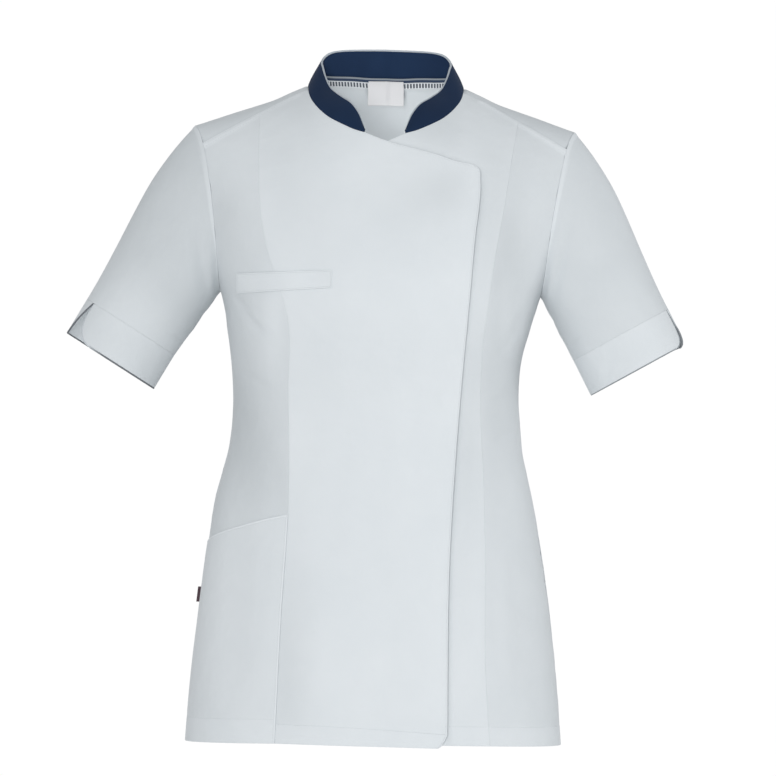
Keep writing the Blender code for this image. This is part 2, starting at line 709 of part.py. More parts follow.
def make_cuff(hand):
    name = SLEEVES[hand]["name"]
    front, back = SLEEVES[hand]["slit"]
    level = CUFF_LEVELS / CUFF_DEPTH
    start = np.radians(front) + rounded(CUFF_LEVELS, CUFF_ROUND_FRONT) / SLEEVE_DEPTH
    end = np.radians(360 + back + level * (front - SLIT_WIDTH - back))
    end -= rounded(CUFF_LEVELS, CUFF_ROUND_BACK) / SLEEVE_DEPTH
    j = np.linspace(0, 1, CUFF_COLUMNS + 1)
    angles = start[:, None] * (1 - j) + end[:, None] * j
    points = cuff_point(hand, angles, CUFF_LEVELS[:, None])
    normals = rolled_normals(points)
    panel(f"cuff_{name}", points, normals, "white", wall=BAND_WALL)

    edge, depth = (np.concatenate([grid[:-1, 0], grid[-1], grid[-2::-1, -1]]) for grid in (points, normals))
    edge_piping(f"cuff_piping_{name}", edge, depth, BAND_WALL, -hand, "dark_piping")


def make_collar():
    points = collar_points()
    normals = rolled_normals(points)
    edge_piping("collar_piping", points[-1], normals[-1], COLLAR_WALL, 1, "pale_piping")
    normals[0] = neck_normals()[1]
    cloth("collar", points, points - normals * COLLAR_WALL, "navy")


def make_neck_trim():
    inside = WALL + OVER_GAP
    for name, size, depth, color in (
        ("neck_tape", TAPE, inside, "white"),
        ("neck_label", LABEL, inside + TRIM_WALL + OVER_GAP, "label"),
    ):
        x = np.linspace(-size["half_width"], size["half_width"], size["columns"] + 1)
        down = np.linspace(size["top"], size["bottom"], size["rows"] + 1)[:, None]
        rolls = back_neck_roll(np.abs(x)) + down / NECK_RADIUS
        grid = np.stack([np.broadcast_to(x, rolls.shape), rolls], axis=-1)
        points, normals = shoulder_cloth(grid)
        panel(name, points, normals, color, -depth, TRIM_WALL, 0)


def make_overlays():
    x = np.linspace(WELT["across"][0], WELT["across"][1], WELT_COLUMNS + 1)
    top, bottom = (np.interp(x, WELT["across"], WELT[name]) for name in ("top", "bottom"))
    heights = np.linspace(bottom, top, WELT_ROWS + 1)
    points, normals = body_cloth(on_front(x + 0 * heights, heights))
    panel("breast_welt", lifted(points), normals, "white", OVER_GAP + WALL, WALL, 0)

    below = side_front_grid(RIGHT)[: 1 + np.sum(ROWS < POCKET_MOUTH_SIDE)]
    mouth = below[-1].copy()
    mouth[:, 1] = POCKET_MOUTH_SIDE + shares(mouth) * (POCKET_MOUTH_FRONT - POCKET_MOUTH_SIDE)
    princess = curve(PRINCESS[RIGHT]["height"], PRINCESS[RIGHT]["out"])
    mouth[-1] = on_front(-princess(POCKET_MOUTH_FRONT), POCKET_MOUTH_FRONT)
    points, normals = body_cloth(np.concatenate([below, [(below[-1] + mouth) / 2], [mouth]]))
    panel("lower_pocket", points, normals, "side", OVER_GAP + WALL, WALL, TRIM_WALL)


def make_tag():
    heights = TAG_HEIGHT + TAG_LENGTH / 2 * np.array([-1, 1])
    seam = body_point(-math.pi / 2, heights)
    reach = np.array([SEAM_GAP, TAG_REACH])[:, None, None] * np.array([-1, 0, 0])
    middle = seam + reach
    half = np.array([0, TRIM_WALL / 2, 0])
    cloth("side_tag", middle - half, middle + half, "tag")


def main():
    for old in list(bpy.data.objects):
        bpy.data.objects.remove(old, do_unlink=True)
    make_body()
    for hand in (RIGHT, LEFT):
        make_sleeve(hand)
        make_cuff(hand)
    make_collar()
    make_neck_trim()
    make_overlays()
    make_tag()


main()
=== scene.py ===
import math

import bpy
import numpy as np
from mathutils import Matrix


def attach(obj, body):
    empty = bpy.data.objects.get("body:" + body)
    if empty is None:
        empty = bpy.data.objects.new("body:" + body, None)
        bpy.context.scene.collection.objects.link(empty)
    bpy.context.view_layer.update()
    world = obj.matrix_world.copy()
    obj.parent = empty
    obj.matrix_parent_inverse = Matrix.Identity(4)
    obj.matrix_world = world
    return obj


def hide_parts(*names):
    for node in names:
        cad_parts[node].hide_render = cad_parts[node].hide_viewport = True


mm = 0.001
tiny = 1e-9  # keeps a division from zero
rightHand, leftHand = -1, 1  # the wearer's side, as the sign of X
inFront, behind = -1, 1  # as the sign of Y

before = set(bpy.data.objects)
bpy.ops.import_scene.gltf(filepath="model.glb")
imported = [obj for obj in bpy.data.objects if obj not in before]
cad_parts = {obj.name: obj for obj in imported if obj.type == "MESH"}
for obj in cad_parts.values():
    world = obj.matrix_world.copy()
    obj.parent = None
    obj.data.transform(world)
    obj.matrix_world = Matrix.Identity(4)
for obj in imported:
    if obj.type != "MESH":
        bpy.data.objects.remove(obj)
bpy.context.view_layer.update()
scene = bpy.context.scene


def rowsOf(names, *rows):
    return {name: mm * np.array(values, float) for name, values in zip(names.split(), zip(*rows))}


def inMm(**values):
    return {name: mm * value for name, value in values.items()}


# The form of the body, in millimetres

sections = rowsOf(
    "height halfWidth front back shift",
    (30, 222, 56, 70, 0),
    (0, 222, 74, 78, 0),
    (-45, 216, 88, 92, 0),
    (-100, 206, 105, 104, 0),
    (-140, 196, 116, 107, -0.5),
    (-180, 184, 124, 106, -1),
    (-200, 176, 127, 105, -1.3),
    (-218, 168, 128, 103.5, -1.6),
    (-235, 163, 128, 101, -2),
    (-258, 158, 125, 97, -3.6),
    (-283, 153, 119, 92, -5),
    (-308, 150.4, 113, 88, -5),
    (-331, 149.9, 108, 86, -4.4),
    (-357, 151.4, 106, 87, -3.6),
    (-382, 154.4, 106, 90, -3.9),
    (-407, 160.2, 107.5, 95, -4.1),
    (-433, 166.6, 110, 101, -4.4),
    (-458, 170.9, 112.5, 107, -3.8),
    (-508, 178.4, 118, 117, -2.5),
    (-559, 184.8, 123, 124, -1.5),
    (-609, 190.4, 126.5, 129, -1.1),
    (-660, 194.7, 129, 133, -0.6),
    (-695, 196.7, 131, 135, -0.2),
)
shoulder = rowsOf(
    "out height",
    (0, 28),
    (30, 22),
    (60, 10),
    (82, 0),
    (100, -8),
    (117, -16),
    (135, -22.3),
    (160, -30.6),
    (180, -37.6),
    (198.5, -44),
    (215, -49.5),
)
armhole = rowsOf(
    "height out",
    (-218, 168),
    (-202, 170),
    (-166, 173.6),
    (-134, 177.5),
    (-92, 184),
    (-64, 190),
    (-50, 194.8),
    (-44, 198.5),
)
princess = {
    rightHand: rowsOf(
        "height out",
        (-685, 102.5),
        (-558, 98.5),
        (-449, 93.5),
        (-330, 95.5),
        (-232, 100.5),
        (-217, 105.5),
        (-169, 121.5),
        (-85, 131),
        (-31, 131),
    ),
    leftHand: rowsOf(
        "height out",
        (-685, 120),
        (-558, 111.5),
        (-495, 110.5),
        (-411, 107),
        (-327, 104),
        (-264, 106),
        (-195, 114),
        (-122, 126),
        (-66, 134),
        (-36, 139),
    ),
}
yokeLine = rowsOf("out height", (82, -7), (92, -11.5), (106, -17.5), (150, -41), (190, -63))
overlapSide = rowsOf(
    "height across",
    (-690, 76),
    (-495, 75),
    (-359, 81),
    (-211, 91.5),
    (-160, 95.2),
    (-110, 100),
    (-86, 99.5),
)
overlapTop = rowsOf(
    "across height", (-21.4, -50.7), (3, -59.6), (33, -67), (54, -72.4), (74, -79), (92, -82.5), (99.5, -86)
)
underlapTop = rowsOf("across height", (21.4, -50.7), (3, -59.2), (-30, -69))
collarRows = rowsOf(
    "neckOut neckHeight rimOut rimBack rimHeight",
    (21.4, -50.7, 20.8, -80, -48),
    (27, -49.2, 23, -77, -42),
    (35, -46.6, 28.2, -69, -30),
    (48.5, -40.4, 36.4, -59, -19.4),
    (62, -32.6, 47.2, -46, -12.2),
    (72.9, -22.2, 58.2, -28, -3),
    (79.9, -11, 64.4, -12, 9.6),
    (82, -0.6, 67.8, 5, 20),
    (80.5, 0.3, 69.3, 16, 24.5),
    (75, 1, 67.6, 26, 29),
    (65, 1.7, 60.2, 35, 34.6),
    (50, 2.6, 48, 42, 37.5),
    (25, 3.6, 25, 48, 39),
    (0, 4, 0, 50, 39.5),
)
body = dict(
    **inMm(shoulderRound=100, backSeamRise=6, collarBulge=1.5, cornerRound=10, topCornerRound=6),
    **inMm(hemSide=-688, hemFront=-685, hemBack=-690, hemTilt=1.2),
    **inMm(overlapDrop=3, overlapLift=2.4, liftStart=-84, liftEnd=-38),
    squareness=2.3,
    neckTurnRow=7,  # the last row of the collar in front of the shoulder line
    yokeNeckRow=6.4,  # where the yoke's front seam meets the collar
    foldHead=0.35,  # the share of a fold's length over which it rises
    foldFoot=0.75,  # and the share at which it starts to end
    foldCore=10 * mm,  # nearer to the axis than this, a fold grows no stronger
)

# Long soft folds, shared with the solids, and shorter creases. A negative depth is a trough

folds = rowsOf(
    "topX topZ lowX lowZ width depth side",
    (-140, -350, -152, -660, 20, -3.0, -1),
    (-60, -300, -78, -420, 24, -1.2, -1),
    (112, -300, 100, -640, 17, 2.6, -1),
    (150, -420, 165, -670, 22, -2.6, -1),
    (-70, -330, -105, -660, 26, -3.2, 1),
    (64, -340, 92, -650, 26, -2.8, 1),
    (2, -380, 6, -640, 34, 2.2, 1),
)
creases = rowsOf(
    "topX topZ lowX lowZ width depth side",
    (-158, -214, -122, -268, 5, -1.5, -1),
    (-150, -232, -108, -262, 4, 0.9, -1),
    (-146, -300, -112, -322, 6, -0.9, -1),
    (-150, -338, -108, -352, 7, 0.8, -1),
    (-118, -360, -96, -470, 8, -1.0, -1),
    (-40, -330, -52, -520, 12, -0.9, -1),
    (10, -250, 22, -470, 15, 0.8, -1),
    (52, -120, 60, -300, 14, -0.9, -1),
    (54, -70, 64, -96, 4, -0.8, -1),
    (70, -76, 84, -104, 4, -0.7, -1),
    (-60, -470, -66, -650, 13, 0.9, -1),
    (20, -500, 12, -660, 14, -0.8, -1),
    (112, -150, 108, -270, 6, 1.2, -1),
    (124, -160, 126, -300, 7, -1.2, -1),
    (152, -222, 126, -284, 5, -1.3, -1),
    (140, -300, 112, -330, 6, 0.9, -1),
    (146, -352, 120, -372, 7, -0.8, -1),
    (130, -460, 138, -640, 9, 1.1, -1),
    (-150, -205, -92, -262, 6, -1.5, 1),
    (152, -205, 96, -258, 6, -1.5, 1),
    (-130, -300, -60, -322, 7, -1.1, 1),
    (126, -296, 52, -330, 8, 1.0, 1),
    (-118, -338, -40, -350, 8, 0.9, 1),
    (110, -352, 30, -366, 8, -1.0, 1),
    (-36, -120, -52, -300, 14, -1.0, 1),
    (44, -130, 56, -290, 13, -0.9, 1),
)


def smoothCurve(keys, values):
    order = np.argsort(keys)
    keys, values = np.asarray(keys, float)[order], np.asarray(values, float)[order]
    slopes = np.gradient(values, keys)

    def at(where):
        where = np.clip(where, keys[0], keys[-1])
        i = np.clip(np.searchsorted(keys, where) - 1, 0, len(keys) - 2)
        span = keys[i + 1] - keys[i]
        u = (where - keys[i]) / span
        ends = (1 + 2 * u) * (1 - u) ** 2 * values[i] + u * u * (3 - 2 * u) * values[i + 1]
        return ends + u * (1 - u) * span * ((1 - u) * slopes[i] - u * slopes[i + 1])

    return at


def ease(value, start, end):
    u = np.clip((value - start) / (end - start), 0, 1)
    return u * u * (3 - 2 * u)


def bell(offset, width):
    return np.exp(-((offset / width) ** 2))


def rounded(above, radius):  # how far a rounded corner lies inside at a height above its foot
    return radius - np.sqrt(radius**2 - np.maximum(radius - above, 0) ** 2)


def unit(vectors):
    return vectors / np.maximum(np.linalg.norm(vectors, axis=-1, keepdims=True), tiny)


def signedPower(value, power):
    return np.sign(value) * np.abs(value) ** power


halfWidth, frontDepth, backDepth, shift = (
    smoothCurve(sections["height"], sections[name]) for name in ("halfWidth", "front", "back", "shift")
)
shoulderLine = smoothCurve(shoulder["out"], shoulder["height"])
armholeOut = smoothCurve(armhole["height"], armhole["out"])
yokeSeam = smoothCurve(yokeLine["out"], yokeLine["height"])
overlapEdge = smoothCurve(overlapSide["height"], overlapSide["across"])
overlapTopHeight = smoothCurve(overlapTop["across"], overlapTop["height"])


def folded(x, y, z):
    push = np.zeros(np.broadcast(x, y, z).shape)
    for table in (folds, creases):
        for topX, topZ, lowX, lowZ, width, depth, side in zip(*table.values()):
            along = (z - topZ) / (lowZ - topZ)
            middle = topX + np.clip(along, 0, 1) * (lowX - topX)
            ends = ease(along, 0, body["foldHead"]) * ease(along, 1, body["foldFoot"])
            push += (y * side > 0) * ends * depth * bell(x - middle, width)
    out = x - shift(z)
    grow = 1 + push / np.maximum(np.hypot(out, y), body["foldCore"])
    return np.stack([shift(z) + out * grow, y * grow, z + 0 * x], axis=-1)


def bodyPoint(turn, z):  # turn 0 is the middle of the front, a quarter turn the left side
    x = shift(z) + halfWidth(z) * signedPower(np.sin(turn), 2 / body["squareness"])
    depth = np.where(np.cos(turn) > 0, frontDepth(z), backDepth(z))
    drop = np.clip((shoulderLine(np.abs(x)) - z) / body["shoulderRound"], 0, 1)
    reach = np.sqrt(1 - (1 - drop) ** 2)
    return folded(x, -depth * signedPower(np.cos(turn), 2 / body["squareness"]) * reach, z)


def shoulderPoint(x, roll):  # roll 0 is the shoulder line, a quarter turn has the full depth
    quarter = math.pi / 2
    below = np.maximum(np.abs(roll) - quarter, 0)
    over = np.clip(roll, -quarter, quarter)
    z = shoulderLine(np.abs(x)) - body["shoulderRound"] * (1 - np.cos(over) + below)
    depth = np.where(roll < 0, frontDepth(z), backDepth(z))
    across = np.clip(np.abs(x - shift(z)) / halfWidth(z), 0, 1)
    return folded(x, np.sin(over) * depth * (1 - across ** body["squareness"]) ** (1 / body["squareness"]), z)


def turnAt(x, z):
    across = np.clip(np.abs(x - shift(z)) / halfWidth(z), 0, 1)
    return np.sign(x - shift(z)) * np.arcsin(across ** (body["squareness"] / 2))


def rollAt(x, z, side):
    drop = np.maximum(shoulderLine(np.abs(x)) - z, 0) / body["shoulderRound"]
    return side * np.where(drop < 1, np.arccos(np.clip(1 - drop, 0, 1)), math.pi / 2 + drop - 1)


def faced(surface, grid, stepU, stepV):
    u, v = grid[..., 0], grid[..., 1]
    points = surface(u, v)
    across = surface(u + stepU, v) - surface(u - stepU, v)
    along = surface(u, v + stepV) - surface(u, v - stepV)
    normals = unit(np.cross(across, along))
    out = points - np.array([0, 0, armhole["height"].min()])
    out[..., 2] = np.maximum(out[..., 2], 0)
    return points, normals * np.sign(np.sum(normals * out, axis=-1, keepdims=True))


probe = dict(turn=0.004, length=0.4 * mm)  # steps that find the direction of the cloth


def bodyCloth(grid):
    return faced(bodyPoint, grid, probe["turn"], probe["length"])


def shoulderCloth(grid):
    return faced(shoulderPoint, grid, probe["length"], probe["turn"])


def rolledNormals(points, closed=False):
    if closed:
        across = np.roll(points, -1, axis=1) - np.roll(points, 1, axis=1)
    else:
        across = np.gradient(points, axis=1)
    normals = unit(np.cross(across, np.gradient(points, axis=0)))
    out = points - points.mean(axis=(0, 1))
    return normals * np.sign(np.mean(np.sum(normals * out, axis=-1)))


# Seams, as edges of the panels

steps = dict(
    rise=132,  # rows below the armpit
    armhole=168,  # round the armhole, from the shoulder line to the back
    frontYoke=-18,  # the yoke's ends on the armhole
    backYoke=30,
    side=30,  # across a side front, and on along its yoke seam and the neck
    yokeNeck=14,
    neck=26,
    overlap=40,
    underlap=18,
    back=110,
    collarHalf=34,
)
armholePlaces = np.arange(1 - steps["armhole"] // 2, steps["armhole"] // 2 + 1)


def shares(edge):
    lengths = np.linalg.norm(np.diff(edge, axis=0) / np.maximum(np.ptp(edge, axis=0), mm), axis=1)
    return np.concatenate([[0], np.cumsum(lengths)]) / lengths.sum()


def patch(start, end, low, high):
    t = ((shares(start) + shares(end)) / 2)[:, None, None]
    s = ((shares(low) + shares(high)) / 2)[None, :, None]
    corners = (1 - t) * ((1 - s) * low[0] + s * low[-1]) + t * ((1 - s) * high[0] + s * high[-1])
    return (1 - s) * start[:, None] + s * end[:, None] + (1 - t) * low[None] + t * high[None] - corners


def armholeHeight(step):
    top, armpit = armhole["height"].max(), armhole["height"].min()
    return (top + armpit) / 2 + (top - armpit) / 2 * np.cos(2 * math.pi * np.asarray(step) / steps["armhole"])


def armholeX(hand, step):
    z = armholeHeight(step)
    return shift(z) + hand * armholeOut(z)


def armholeRolls(hand, places):
    x = armholeX(hand, places)
    return np.stack([x, rollAt(x, armholeHeight(places), np.where(places < 0, inFront, behind))], axis=-1)


def hemHeight(turn):
    middle = np.where(np.cos(turn) > 0, body["hemFront"], body["hemBack"])
    return body["hemSide"] + (middle - body["hemSide"]) * np.cos(turn) ** 2 + body["hemTilt"] * np.sin(turn)


def sideEdge(hand, side):
    last = steps["frontYoke"] if side == inFront else steps["backYoke"]
    places = np.arange(steps["armhole"] // 2, abs(last) - 1, -1)
    heights = armholeHeight(places)
    turns = np.abs(turnAt(armholeX(hand, places), heights))
    turns[0] = math.pi / 2
    turns = turns if side == inFront else math.pi - turns
    lower = np.linspace(hemHeight(hand * math.pi / 2), heights[0], steps["rise"] + 1)[:-1]
    turns = hand * np.concatenate([np.full(len(lower), math.pi / 2), turns])
    return np.stack([turns, np.concatenate([lower, heights])], axis=-1)


def onFront(x, z):
    return np.stack(np.broadcast_arrays(turnAt(x, z), z), axis=-1)


neckRows = np.arange(len(collarRows["neckOut"]))
neckSides = np.where(neckRows <= body["neckTurnRow"], inFront, behind)
neckRolls = rollAt(collarRows["neckOut"], collarRows["neckHeight"], neckSides)
neckOutAt = smoothCurve(neckRows, collarRows["neckOut"])
neckRollAt = smoothCurve(neckRows, neckRolls)
rimAt = [smoothCurve(neckRows, collarRows[name]) for name in ("rimOut", "rimBack", "rimHeight")]
frontNeck = np.linspace(0, body["yokeNeckRow"], steps["neck"] + 1)
yokeNeck = np.linspace(body["yokeNeckRow"], neckRows[-1], steps["collarHalf"] + 1)
collarNeck = np.concatenate([frontNeck, yokeNeck[1:]])


def neckAt(hand, row):
    return hand * neckOutAt(row), neckRollAt(row)


def yokePoints(hand):
    endX, endZ = armholeX(hand, steps["frontYoke"]), armholeHeight(steps["frontYoke"])
    neck = shoulderPoint(*neckAt(hand, body["yokeNeckRow"]))
    princessOut = princess[hand]["out"][-1]
    toPrincess = np.linspace(abs(endX), princessOut, steps["side"] + 1)
    toNeck = np.linspace(princessOut, abs(neck[0]), steps["yokeNeck"] + 1)
    out = np.concatenate([toPrincess, toNeck[1:]])
    heights = yokeSeam(out)
    heights += ease(out, princessOut, abs(endX)) * (endZ - heights[0])
    heights += ease(out, princessOut, abs(neck[0])) * (neck[2] - heights[-1])
    return np.stack([hand * out, heights], axis=-1)


def princessEdge(hand):
    seam = princess[hand]
    topX, topZ = yokePoints(hand)[steps["side"]]
    armpit = armhole["height"].min()
    upper = np.linspace(armpit, topZ, steps["armhole"] // 2 + steps["frontYoke"] + 1)
    lower = np.linspace(body["hemFront"], armpit, steps["rise"] + 1)[:-1]
    heights = np.concatenate([lower, upper])
    edge = onFront(hand * smoothCurve(seam["height"], seam["out"])(heights), heights)
    edge[0, 1] = hemHeight(edge[0, 0])
    edge[-1] = onFront(topX, topZ)
    return edge


def sideFrontGrid(hand):
    start, end = sideEdge(hand, inFront), princessEdge(hand)
    turns = np.linspace(start[0, 0], end[0, 0], steps["side"] + 1)
    low = np.stack([turns, hemHeight(turns)], axis=-1)
    return patch(start, end, low, onFront(*yokePoints(hand)[: steps["side"] + 1].T))


def cornerRounded(grid, radius):  # the overlap's upper corner, by distances along its two edges
    corner, alongTop, alongSide = grid[-1, -1], grid[-1, -2] - grid[-1, -1], grid[-4, -1] - grid[-1, -1]
    scale = np.array([halfWidth(corner[1]), 1])  # turns to lengths, near enough for a few millimetres
    axes = np.stack([unit(alongTop * scale), unit(alongSide * scale)])
    away = (grid - corner) * scale @ np.linalg.inv(axes)
    inside = np.maximum(radius - away, 0)
    both = np.all(inside > 0, axis=-1, keepdims=True)
    reach = np.maximum(np.linalg.norm(inside, axis=-1, keepdims=True), tiny)
    shrunk = inside * inside.max(axis=-1, keepdims=True) / reach
    away = np.where(both, radius - shrunk, away)
    return corner + away @ axes / scale


def centreFrontGrid(hand):
    start = princessEdge(hand)
    neck = shoulderPoint(*neckAt(hand, frontNeck[::-1]))[:, [0, 2]]
    edge = overlapTop if hand == rightHand else underlapTop
    count = steps["overlap"] if hand == rightHand else steps["underlap"]
    across = np.linspace(edge["across"][0], edge["across"][-1], count + 1)[1:]
    top = np.stack([across, smoothCurve(edge["across"], edge["height"])(across)], axis=-1)
    high = onFront(*np.concatenate([yokePoints(hand)[steps["side"] :], neck[1:], top]).T)
    drop = body["overlapDrop"] if hand == rightHand else 0
    foot, head = body["hemFront"] - drop, top[-1, 1]
    heights = foot + (start[:, 1] - start[0, 1]) / (start[-1, 1] - start[0, 1]) * (head - foot)
    free = overlapEdge(heights) if hand == rightHand else np.full(len(heights), edge["across"].min())
    if hand == rightHand:
        free -= rounded(heights - foot, body["cornerRound"])
    end = onFront(free, heights)
    turns = start[0, 0] + shares(high) * (end[0, 0] - start[0, 0])
    low = np.stack([turns, hemHeight(turns) - drop * shares(high)], axis=-1)
    end[0], end[-1] = low[-1], high[-1]
    grid = patch(start, end, low, high)
    return cornerRounded(grid, body["topCornerRound"]) if hand == rightHand else grid


def backSeam(x):
    end = abs(armholeX(leftHand, steps["backYoke"]))
    return armholeHeight(steps["backYoke"]) + body["backSeamRise"] * (1 - (x / end) ** 2)


def backGrid():
    start, end = sideEdge(leftHand, behind), sideEdge(rightHand, behind) + np.array([2 * math.pi, 0])
    turns = np.linspace(start[0, 0], end[0, 0], steps["back"] + 1)
    low = np.stack([turns, hemHeight(turns)], axis=-1)
    ends = [armholeX(hand, steps["backYoke"]) for hand in (leftHand, rightHand)]
    x = np.linspace(*ends, steps["back"] + 1)
    high = np.stack([math.pi - turnAt(x, backSeam(x)), backSeam(x)], axis=-1)
    return patch(start, end, low, high)


def yokeGrid():
    places = np.arange(steps["frontYoke"], steps["backYoke"] + 1)
    start, end = armholeRolls(rightHand, places), armholeRolls(leftHand, places)
    halves = []
    for hand in (rightHand, leftHand):
        x, z = yokePoints(hand)[:-1].T
        seam = np.stack([x, rollAt(x, z, inFront)], axis=-1)
        halves.append(np.concatenate([seam, np.stack(neckAt(hand, yokeNeck), axis=-1)]))
    low = np.concatenate([halves[0], halves[1][-2::-1]])
    x = start[-1, 0] + shares(low) * (end[-1, 0] - start[-1, 0])
    high = np.stack([x, rollAt(x, backSeam(x), behind)], axis=-1)
    return patch(start, end, low, high)


def lifted(points):
    rise = body["overlapLift"] * ease(points[..., :1], body["liftStart"], body["liftEnd"])
    return points - np.array([0, 1, 0]) * rise


print("form of the body ready")

# Materials


class Value:
    def __init__(self, look, socket):
        self.look, self.socket = look, socket

    def done(self, operation, first, second=0.0):
        return self.look.node("ShaderNodeMath", {"operation": operation}, {0: first, 1: second})

    def __add__(self, other):
        return self.done("ADD", self, other)

    def __radd__(self, other):
        return self.done("ADD", other, self)

    def __sub__(self, other):
        return self.done("SUBTRACT", self, other)

    def __rsub__(self, other):
        return self.done("SUBTRACT", other, self)

    def __mul__(self, other):
        return self.done("MULTIPLY", self, other)

    def __rmul__(self, other):
        return self.done("MULTIPLY", other, self)

    def __truediv__(self, other):
        return self.done("DIVIDE", self, other)

    def __rtruediv__(self, other):
        return self.done("DIVIDE", other, self)

    def sine(self):
        return self.done("SINE", self)

    def pingPong(self, size):
        return self.done("PINGPONG", self, size)

    def over(self, limit):
        return self.done("GREATER_THAN", self, limit)


class Look:  # the nodes of a material or of the world
    def __init__(self, owner, shader="Principled BSDF"):
        owner.use_nodes = True
        self.owner, self.tree = owner, owner.node_tree
        self.shader = self.tree.nodes[shader]

    def node(self, kind, settings=None, inputs=None, output=0):
        made = self.tree.nodes.new(kind)
        for key, value in (settings or {}).items():
            setattr(made, key, value)
        for key, value in (inputs or {}).items():
            self.put(made.inputs[key], value)
        return Value(self, made.outputs[output])

    def put(self, socket, value):
        if isinstance(value, Value):
            self.tree.links.new(value.socket, socket)
        else:
            socket.default_value = value

    def set(self, **sockets):
        for name, value in sockets.items():
            self.put(self.shader.inputs[name.replace("_", " ")], value)

    def uv(self):
        place = self.node("ShaderNodeUVMap", {"uv_map": "cloth"})
        parts = self.node("ShaderNodeSeparateXYZ", {}, {0: place}).socket.node
        return place, Value(self, parts.outputs[0]), Value(self, parts.outputs[1])

    def noise(self, scale, detail=2.0, vector=None):
        vector = vector or self.node("ShaderNodeTexCoord", output=3)
        return self.node("ShaderNodeTexNoise", {}, {"Vector": vector, "Scale": scale, "Detail": detail})

    def mixed(self, factor, first, second):
        first, second = ((*color, 1) if isinstance(color, tuple) else color for color in (first, second))
        inputs = {"Factor": factor, 6: first, 7: second}
        return self.node("ShaderNodeMix", {"data_type": "RGBA"}, inputs, output=2)

    def bumped(self, height, strength, distance, normal=None):
        inputs = {"Height": height, "Strength": strength, "Distance": distance}
        if normal:
            inputs["Normal"] = normal
        return self.node("ShaderNodeBump", {}, inputs)


woven = dict(
    slubScale=900,
    cloudScale=14,
    cloudDetail=3,
    drapeScale=38,
    cloud=1.5,  # how much each of them lightens the cloth
    drape=0.5,
    weave=0.12,
    slub=0.13,
    darker=0.63,
    slubRough=0.08,
    slubRise=0.8,
    weaveStrength=0.35,
    **inMm(drapeHeight=2.5, weaveHeight=0.09),
)


def wovenLook(name, light, dark, yarn, thick=None, twill=0.0, roughness=0.86, sheen=0.12, softness=0.25):
    look = Look(bpy.data.materials.new(name))
    place, u, v = look.uv()
    turns = 2 * math.pi / yarn
    warp, weft = (u * turns).sine(), ((v + u * twill) * turns).sine()
    weave = warp * weft * 0.5 + 0.5
    slub = look.noise(woven["slubScale"], vector=place)
    cloud = look.noise(woven["cloudScale"], woven["cloudDetail"])
    drape = look.noise(woven["drapeScale"])
    # the drape noise that raises the wide bump also lightens the colour, so the bump's low places are darker:
    # painted shade
    shade = cloud * woven["cloud"] + drape * woven["drape"] + weave * woven["weave"] + slub * woven["slub"]
    shade = shade - woven["darker"]
    tone = look.mixed(shade, dark, light)
    if thick:  # cloth in two layers shows less of the dark inside; the share that mixes in the lighter colours also carries painted shade and painted light
        layersAndShade = look.node("ShaderNodeAttribute", {"attribute_name": "layersAndShade"}, output=2)
        tone = look.mixed(layersAndShade, tone, look.mixed(shade, thick["dark"], thick["light"]))
    look.set(Base_Color=tone, Roughness=slub * woven["slubRough"] + (roughness - woven["slubRough"] / 2))
    wide = look.bumped(drape, softness, woven["drapeHeight"])
    fine = weave + slub * woven["slubRise"]
    look.set(Normal=look.bumped(fine, woven["weaveStrength"], woven["weaveHeight"], wide))
    look.set(Sheen_Weight=sheen, Sheen_Roughness=0.4, Specular_IOR_Level=0.3)
    return look.owner


finish = {
    # the white cloth's pairs for one layer and for two layers are a darker and a lighter copy of one cloth:
    # partly the dark inside showing through one layer, partly painted shade and painted light
    "doubleAndLit": {"light": (0.795, 0.83, 0.852), "dark": (0.755, 0.795, 0.82)},
    "singleAndShaded": {"light": (0.61, 0.645, 0.665), "dark": (0.575, 0.61, 0.63), "yarn": 0.42 * mm},
    "navy": {"light": (0.006, 0.025, 0.071), "dark": (0.003, 0.016, 0.050), "yarn": 0.5 * mm},
    "palePiping": {"light": (0.52, 0.56, 0.60), "dark": (0.40, 0.45, 0.50), "yarn": 0.35 * mm},
    "darkPiping": {"light": (0.17, 0.18, 0.20), "dark": (0.09, 0.10, 0.115), "yarn": 0.35 * mm},
    "paleEdge": {"light": (0.66, 0.70, 0.73), "dark": (0.56, 0.60, 0.63)},
    "label": {"light": (0.69, 0.69, 0.70), "dark": (0.65, 0.65, 0.66), "yarn": 0.25 * mm},
    "tag": {"light": (0.13, 0.085, 0.10), "dark": (0.06, 0.035, 0.045), "yarn": 0.3 * mm},
    "thread": {"light": (0.66, 0.69, 0.72), "dark": (0.56, 0.59, 0.62), "yarn": 0.3 * mm},
}
looks = {
    "white": wovenLook("whiteCloth", **finish["singleAndShaded"], thick=finish["doubleAndLit"], softness=0.5),
    "navy": wovenLook("navyCloth", **finish["navy"], twill=1.0, sheen=0.02, softness=0.15),
    "palePiping": wovenLook("palePipingCloth", **finish["palePiping"], twill=1.0, softness=0.0),
    "darkPiping": wovenLook(
        "darkPipingCloth", **finish["darkPiping"], thick=finish["paleEdge"], twill=1.0, softness=0.0
    ),
    "label": wovenLook("labelCloth", **finish["label"], roughness=0.6, softness=0.1),
    "tag": wovenLook("tagCloth", **finish["tag"], softness=0.0),
    "thread": wovenLook("sewingThread", **finish["thread"], roughness=0.6, softness=0.0),
}

tapeCloth = dict(
    cloth=(0.78, 0.81, 0.83),
    tape=(0.62, 0.65, 0.68),
    navy=(0.012, 0.030, 0.070),
    line=(0.24, 0.27, 0.30),
    thread=(0.035, 0.045, 0.065),
    slub=(0.2, 0.22, 0.25),
    slubScale=1400,
    slubShare=0.12,
    edges=dict(tape=5.4, navy=6.2, line=9.0),  # heights on the tape, in millimetres
    stitches=dict(pitch=3.4, length=2.3, slant=0.3, foot=0.4, top=5.2, cover=0.92),
)


